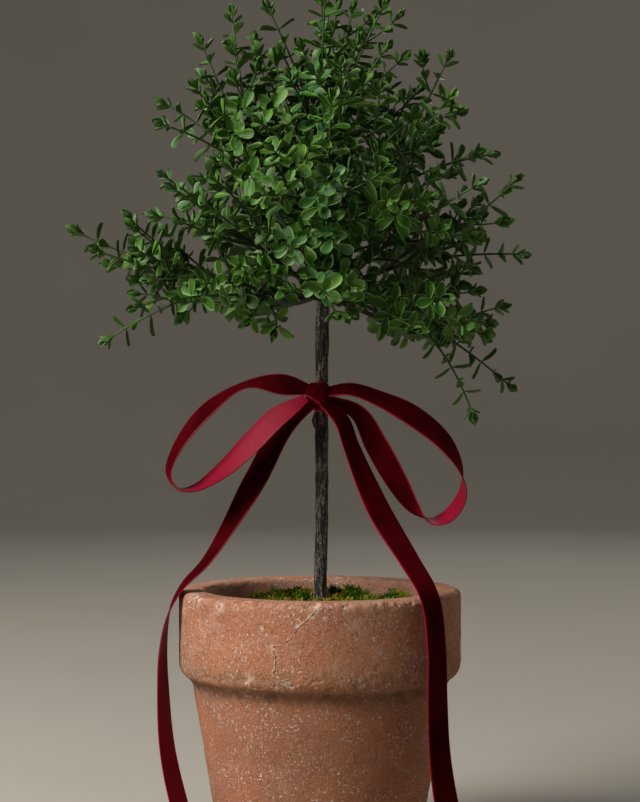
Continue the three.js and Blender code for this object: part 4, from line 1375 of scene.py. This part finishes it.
        # The near-black young wood is partly painted shade inside the head.
        wood = Finish("young_wood", base_color=self.plant.wood, roughness=0.75)
        finished(self.green.joined("twigs_green"), SPRIG_NODES, [green.material], angle=70)
        finished(self.woody.joined("twigs_woody"), SPRIG_NODES, [wood.material], angle=70)


# Ribbon


def hermite(route, share, order):
    """Place (order 0) or slope (order 1) on the solids' centripetal curve through the route's points."""
    points = np.array([stop[:3] for stop in route]) * MM
    points = np.vstack([2 * points[0] - points[1], points, 2 * points[-1] - points[-2]])
    walk = share * (len(route) - 1)
    first = min(int(walk), len(route) - 2)
    weight = walk - first
    p0, p1, p2, p3 = points[first:first + 4]
    d0, d1, d2 = (np.sum((b - a) ** 2) ** 0.25 for a, b in ((p0, p1), (p1, p2), (p2, p3)))
    leave = ((p1 - p0) / d0 - (p2 - p0) / (d0 + d1) + (p2 - p1) / d1) * d1
    arrive = ((p2 - p1) / d1 - (p3 - p1) / (d1 + d2) + (p3 - p2) / d2) * d1
    c2 = -3 * p1 + 3 * p2 - 2 * leave - arrive
    c3 = 2 * p1 - 2 * p2 + leave + arrive
    if order:
        return leave + 2 * c2 * weight + 3 * c3 * weight**2
    return p1 + leave * weight + c2 * weight**2 + c3 * weight**3


def eased(values, share):
    """A value between stops on a uniform curve with its ends held."""
    walk = share * (len(values) - 1)
    first = min(int(walk), len(values) - 2)
    weight = walk - first
    last = len(values) - 1
    v0, v1, v2, v3 = (values[min(max(first + step, 0), last)] for step in (-1, 0, 1, 2))
    t0, t1 = (v2 - v0) / 2, (v3 - v1) / 2
    cubic = (2 * v1 - 2 * v2 + t0 + t1) * weight**3
    return cubic + (-3 * v1 + 3 * v2 - 2 * t0 - t1) * weight**2 + t0 * weight + v1


def velvet_finish(ribbon):
    """Deep velvet pile, lighter in patches of brushing and painted sheen, with a red sheen."""
    finish = Finish("velvet_pile", roughness=0.9, specular_ior_level=0.02, sheen_weight=0.35,
                    sheen_roughness=0.4, sheen_tint=ribbon.velvet_sheen)
    # Lighter patches: brushed pile and painted sheen.
    brushed_and_sheen = finish.level(finish.grain(48, 3), 0.40, 0.62)
    fibres = finish.level(finish.grain(2600, 2), 0.30, 0.75)
    deep = shaded(ribbon.velvet, 0.28)
    finish.paint(finish.mix(brushed_and_sheen * 0.6 + fibres * 0.4, deep, ribbon.velvet))
    finish.relief(finish.grain(3200, 2), 0.18 * MM, 0.6)
    return finish.material


def satin_finish(ribbon):
    """Smooth satin back with fine cross threads."""
    finish = Finish("satin_back", specular_ior_level=0.10)
    threads = finish.grain(1, 2, 0.5, (1500, 1500, 5200))
    deep = shaded(ribbon.satin, 0.72)
    finish.paint(finish.mix(finish.level(threads, 0.3, 0.7), deep, ribbon.satin), 0.50 + 0.12 * threads)
    finish.relief(threads, 0.05 * MM, 0.5)
    return finish.material


def edge_and_sheen_finish(ribbon):
    """Woven edge, painted bright as the velvet's sheen along the ribbon's edges."""
    finish = Finish("woven_edge", specular_ior_level=0.12, sheen_weight=0.2, sheen_tint=ribbon.velvet_sheen)
    threads = finish.grain(3600, 2)
    deep = shaded(ribbon.edge, 0.6)
    finish.paint(finish.mix(finish.level(threads, 0.35, 0.65), deep, ribbon.edge), 0.5)
    finish.relief(threads, 0.1 * MM, 0.6)
    return finish.material


# The knot from the front, as shares of its half width and half height: its foot, its head and a fold
KNOT_FOOT = [(-1, -0.42), (-0.41, -0.85), (0.24, -1.0), (0.66, -0.75), (1, -0.45)]
KNOT_HEAD = [(-1, 0.66), (-0.7, 0.96), (0.6, 1.0), (1, 0.76)]
KNOT_FOLD = [(-1, 0.10), (-0.5, -0.16), (0.15, -0.50), (0.35, -1.2), (1, -1.2)]
# Order of the ribbon's materials
# EDGE faces carry the woven edge with painted sheen.
PILE, BACK, EDGE = range(3)


class TOPIARY_OT_ribbon(bpy.types.Operator):
    """Ties the velvet ribbon in a bow with two long tails"""
    bl_idname = "topiary.ribbon"
    bl_label = "Velvet bow"

    def execute(self, context):
        ribbon = context.scene.topiary_ribbon
        self.ribbon = ribbon
        self.materials = [velvet_finish(ribbon), satin_finish(ribbon), edge_and_sheen_finish(ribbon)]
        self.run("bow_loop_left", LEFT_LOOP, ["ribbon_loop_left_upper", "ribbon_loop_left_lower"])
        self.run("bow_loop_right", RIGHT_LOOP, ["ribbon_loop_right_upper", "ribbon_loop_right_lower"])
        self.run("bow_tail_left", LEFT_TAIL, ["ribbon_tail_left"], slant=-0.35)
        self.run("bow_tail_right", RIGHT_TAIL, ["ribbon_tail_right"], slant=0.35)
        self.knot()
        self.band()
        return {"FINISHED"}

    def section(self, half):
        """Places across the ribbon with the height of its pile and its back at each."""
        ribbon = self.ribbon
        edge = min(ribbon.selvage, 0.3 * half)
        inner = half - edge
        stops = [-half, -inner, -0.94 * inner, -0.62 * inner, -0.22 * inner,
                 0.22 * inner, 0.62 * inner, 0.94 * inner, inner, half]
        piles = [0.35, 0.55, 1, 1, 1, 1, 1, 1, 0.55, 0.35]
        return [(stop, share * ribbon.pile, ribbon.backing) for stop, share in zip(stops, piles)]

    def run(self, name, route, nodes, slant=0.0):
        """One run of ribbon along its route, with pile, back, woven edges and closed ends."""
        ribbon = self.ribbon
        samples, curl_height = 400, 0.35 * MM
        shares = np.linspace(0, 1, samples)
        rough = np.array([hermite(route, share, 0) for share in shares])
        gone = np.concatenate([[0], np.cumsum(np.linalg.norm(np.diff(rough, axis=0), axis=1))])
        steps = int(gone[-1] / ribbon.step)
        stations = np.interp(np.linspace(0, gone[-1], steps + 1), gone, shares)
        turns = [stop[3] for stop in route]
        widths = [stop[4] for stop in route]
        points = []
        for station in stations:
            place = hermite(route, station, 0)
            along = unit(hermite(route, station, 1))
            deep = unit(np.array([0, 1.0, 0]) - along * along[1])
            turn = math.radians(eased(turns, station))
            across = np.cross(along, deep) * math.cos(turn) + deep * math.sin(turn)
            face = np.cross(across, along)
            half = 0.5 * ribbon.width * eased(widths, station)
            curl = curl_height * math.sin(station * 23 + len(name))
            upper, lower = [], []
            for stop, pile, back in self.section(half):
                bowed = face * curl * ((stop / half) ** 2 - 0.4)
                cut = along * slant * stop * float(smooth(0.94, 1.0, station))
                middle = place + across * stop + bowed + cut
                upper.append(middle - face * pile)
                lower.append(middle + face * back)
            points += upper + lower[::-1]
        self.skin(name, np.array(points), nodes)

    def skin(self, name, points, nodes):
        """Joins the cross sections into a closed strip with pile, back and edge faces."""
        ring = 2 * len(self.section(1.0))
        total = len(points) // ring
        slots = [self.kind(corner, ring // 2) for corner in range(ring)] * (total - 1) + [EDGE, EDGE]
        bundle = Bundle()
        bundle.add(points, loft(total, ring), slots)
        piece = bundle.joined(name)
        activate(piece)
        bpy.ops.object.mode_set(mode="EDIT")
        close(piece)
        finished(piece, nodes, self.materials, angle=50)

    def kind(self, corner, columns):
        """Material of a strip face: pile, satin back, or woven edge painted bright as sheen."""
        if corner in (0, columns - 2, columns - 1, columns, 2 * columns - 2, 2 * columns - 1):
            return EDGE
        return PILE if corner < columns - 1 else BACK

    def knot(self):
        """The turn of ribbon that ties the bow: an upright band of cloth drawn tight, with creases and a
        painted highlight along its fold.
        """
        middle = np.array((KNOT_LOW + KNOT_HIGH) / 2)
        wide, deep, tall = np.array((KNOT_HIGH - KNOT_LOW) / 2)
        segments, rows = 96, 40
        squareness, fold_step, below_all = 0.72, 0.11, -1.5
        points, fold_highlight = [], []
        heights = np.concatenate([[0.06], np.linspace(0, 1, rows), [0.94]])
        for row, height in enumerate(heights):
            for turn in np.arange(segments) * (2 * math.pi / segments):
                cosine, sine = math.cos(turn), math.sin(turn)
                x = abs(cosine) ** squareness * math.copysign(1, cosine)
                y = abs(sine) ** squareness * math.copysign(1, sine)
                foot, head = between(KNOT_FOOT, x), between(KNOT_HEAD, x)
                z = foot + (head - foot) * height
                swell = 0.84 + 0.16 * math.sqrt(max(0.0, 1 - (2 * height - 1) ** 2))
                crease = 0.030 * math.sin(4 * turn + 3.5 * z) + 0.022 * math.sin(9 * turn - 6 * z)
                fold = between(KNOT_FOLD, x) if y < 0 else below_all
                under = float(smooth(-0.05, 0.05, fold - z))
                hollow = 0.74 if row in (0, rows + 1) else 1.0
                size = (swell + crease - fold_step * under) * hollow
                points.append(middle + np.array([wide * x * size, deep * y * size, tall * z]))
                # Faces along the fold get the bright edge colour as a painted highlight on the crease.
                fold_highlight.append(abs(fold + 0.04 - z) < 0.06)
        slots = []
        for row in range(rows + 1):
            hem = row < 3 or row > rows - 2
            for corner in range(row * segments, (row + 1) * segments):
                slots.append(EDGE if hem or fold_highlight[corner] else PILE)
        bundle = Bundle()
        bundle.add(points, loft(rows + 2, segments), slots + [PILE, PILE])
        finished(bundle.joined("bow_knot"), ["ribbon_knot"], self.materials, angle=60)

    def band(self):
        """The turn of ribbon round the back of the stem."""
        first_turn, last_turn, steps = math.radians(-62), math.radians(242), 60
        centre = np.array([1.05 * MM, 0.0, (BAND_LOW.z + BAND_HIGH.z) / 2])
        radius = BAND_HIGH.y - 0.5 * MM
        half = (BAND_HIGH.z - BAND_LOW.z) / 2
        points = []
        for turn in np.linspace(first_turn, last_turn, steps):
            out = np.array([math.cos(turn), math.sin(turn), 0.0])
            upper, lower = [], []
            for stop, pile, back in self.section(half):
                ripple = 0.2 * MM * math.sin(3 * turn + stop / MM)
                place = centre + out * (radius - 0.15 * MM + ripple) + np.array([0, 0, stop])
                upper.append(place + out * pile * 0.8)
                lower.append(place - out * back)
            points += upper + lower[::-1]
        self.skin("bow_band", np.array(points), ["ribbon_band"])


# Stage


class TOPIARY_OT_stage(bpy.types.Operator):
    """Sets the camera, the pale floor and the soft light"""
    bl_idname = "topiary.stage"
    bl_label = "Stage"

    def execute(self, context):
        stage = context.scene.topiary_stage
        self.camera(context, stage)
        self.floor(stage)
        self.lights(context, stage)
        return {"FINISHED"}

    def camera(self, context, stage):
        data = bpy.data.cameras.new("photo_camera")
        data.lens = stage.lens
        data.clip_start = 0.01
        camera = bpy.data.objects.new("photo_camera", data)
        camera.location = (0, -stage.camera_distance, stage.camera_height)
        camera.rotation_euler = (math.radians(90), 0, 0)
        context.scene.collection.objects.link(camera)
        context.scene.camera = camera

    def floor(self, stage):
        """A wide dish whose edge rises all round."""
        radius, middle, bend, wall = stage.floor_radius, 0.2, 1.2, 3.4
        rings = [(middle, 0.0), (radius, 0.0)]
        for turn in np.linspace(0.15, math.pi / 2, 10):
            rings.append((radius + bend * math.sin(turn), bend * (1 - math.cos(turn))))
        rings.append((radius + bend, wall))
        piece = turned("pale_floor", rings, 96, capped=False)
        bpy.ops.object.shade_smooth()
        finish = Finish("pale_floor", roughness=0.9, specular_ior_level=0.1)
        shade = shaded(stage.floor_colour, 0.96)
        finish.paint(finish.mix(finish.level(finish.grain(3, 3), 0.3, 0.7), shade, stage.floor_colour))
        piece.data.materials.append(finish.material)

    def lights(self, context, stage):
        self.area(context, "key_light", (-1.28, -0.76, 1.30), 1.00, stage.key, (1.0, 0.96, 0.90))
        self.area(context, "back_light", (0.70, 1.90, 1.70), 1.20, stage.back, (1.0, 0.98, 0.95))
        self.area(context, "fill_light", (1.70, 0.40, 0.75), 0.60, stage.fill, (1.0, 0.97, 0.92))
        world = bpy.data.worlds.new("studio")
        world.use_nodes = True
        background = world.node_tree.nodes["Background"]
        background.inputs["Color"].default_value = (1.0, 0.98, 0.94, 1.0)
        background.inputs["Strength"].default_value = stage.ambient
        context.scene.world = world
        context.scene.view_settings.view_transform = "Standard"

    def area(self, context, name, place, size, power, tone):
        """A square soft light that faces the middle of the plant."""
        data = bpy.data.lights.new(name, "AREA")
        data.size = size
        data.energy = power
        data.color = tone
        light = bpy.data.objects.new(name, data)
        middle_height = 0.26
        x, y, z = place
        rise = z - middle_height
        light.location = place
        light.rotation_euler = (math.atan2(math.hypot(x, y), rise), 0, math.atan2(y, x) + math.pi / 2)
        context.scene.collection.objects.link(light)


class TOPIARY_PT_panel(bpy.types.Panel):
    """Lists the pieces in the sidebar"""
    bl_idname = "TOPIARY_PT_panel"
    bl_label = "Myrtle topiary"
    bl_space_type = "VIEW_3D"
    bl_region_type = "UI"
    bl_category = "Topiary"

    def draw(self, context):
        for operator in OPERATORS:
            self.layout.operator(operator.bl_idname)
        for group in SETTINGS:
            settings = getattr(context.scene, group)
            for name in settings.bl_rna.properties.keys():
                if name not in ("rna_type", "name"):
                    self.layout.prop(settings, name)


SETTINGS = {
    "topiary_pot": PotSettings,
    "topiary_filling": FillingSettings,
    "topiary_plant": PlantSettings,
    "topiary_ribbon": RibbonSettings,
    "topiary_stage": StageSettings,
}
OPERATORS = (
    TOPIARY_OT_pot,
    TOPIARY_OT_filling,
    TOPIARY_OT_wood,
    TOPIARY_OT_sprigs,
    TOPIARY_OT_ribbon,
    TOPIARY_OT_stage,
)


def register():
    for name, group in SETTINGS.items():
        bpy.utils.register_class(group)
        setattr(bpy.types.Scene, name, PointerProperty(type=group))
    for operator in OPERATORS:
        bpy.utils.register_class(operator)
    bpy.utils.register_class(TOPIARY_PT_panel)


def unregister():
    bpy.utils.unregister_class(TOPIARY_PT_panel)
    for operator in reversed(OPERATORS):
        bpy.utils.unregister_class(operator)
    for name, group in SETTINGS.items():
        delattr(bpy.types.Scene, name)
        bpy.utils.unregister_class(group)


def main():
    register()
    bpy.ops.topiary.pot()
    bpy.ops.topiary.filling()
    bpy.ops.topiary.wood()
    bpy.ops.topiary.sprigs()
    bpy.ops.topiary.ribbon()
    bpy.ops.topiary.stage()


if __name__ == "__main__":
    main()
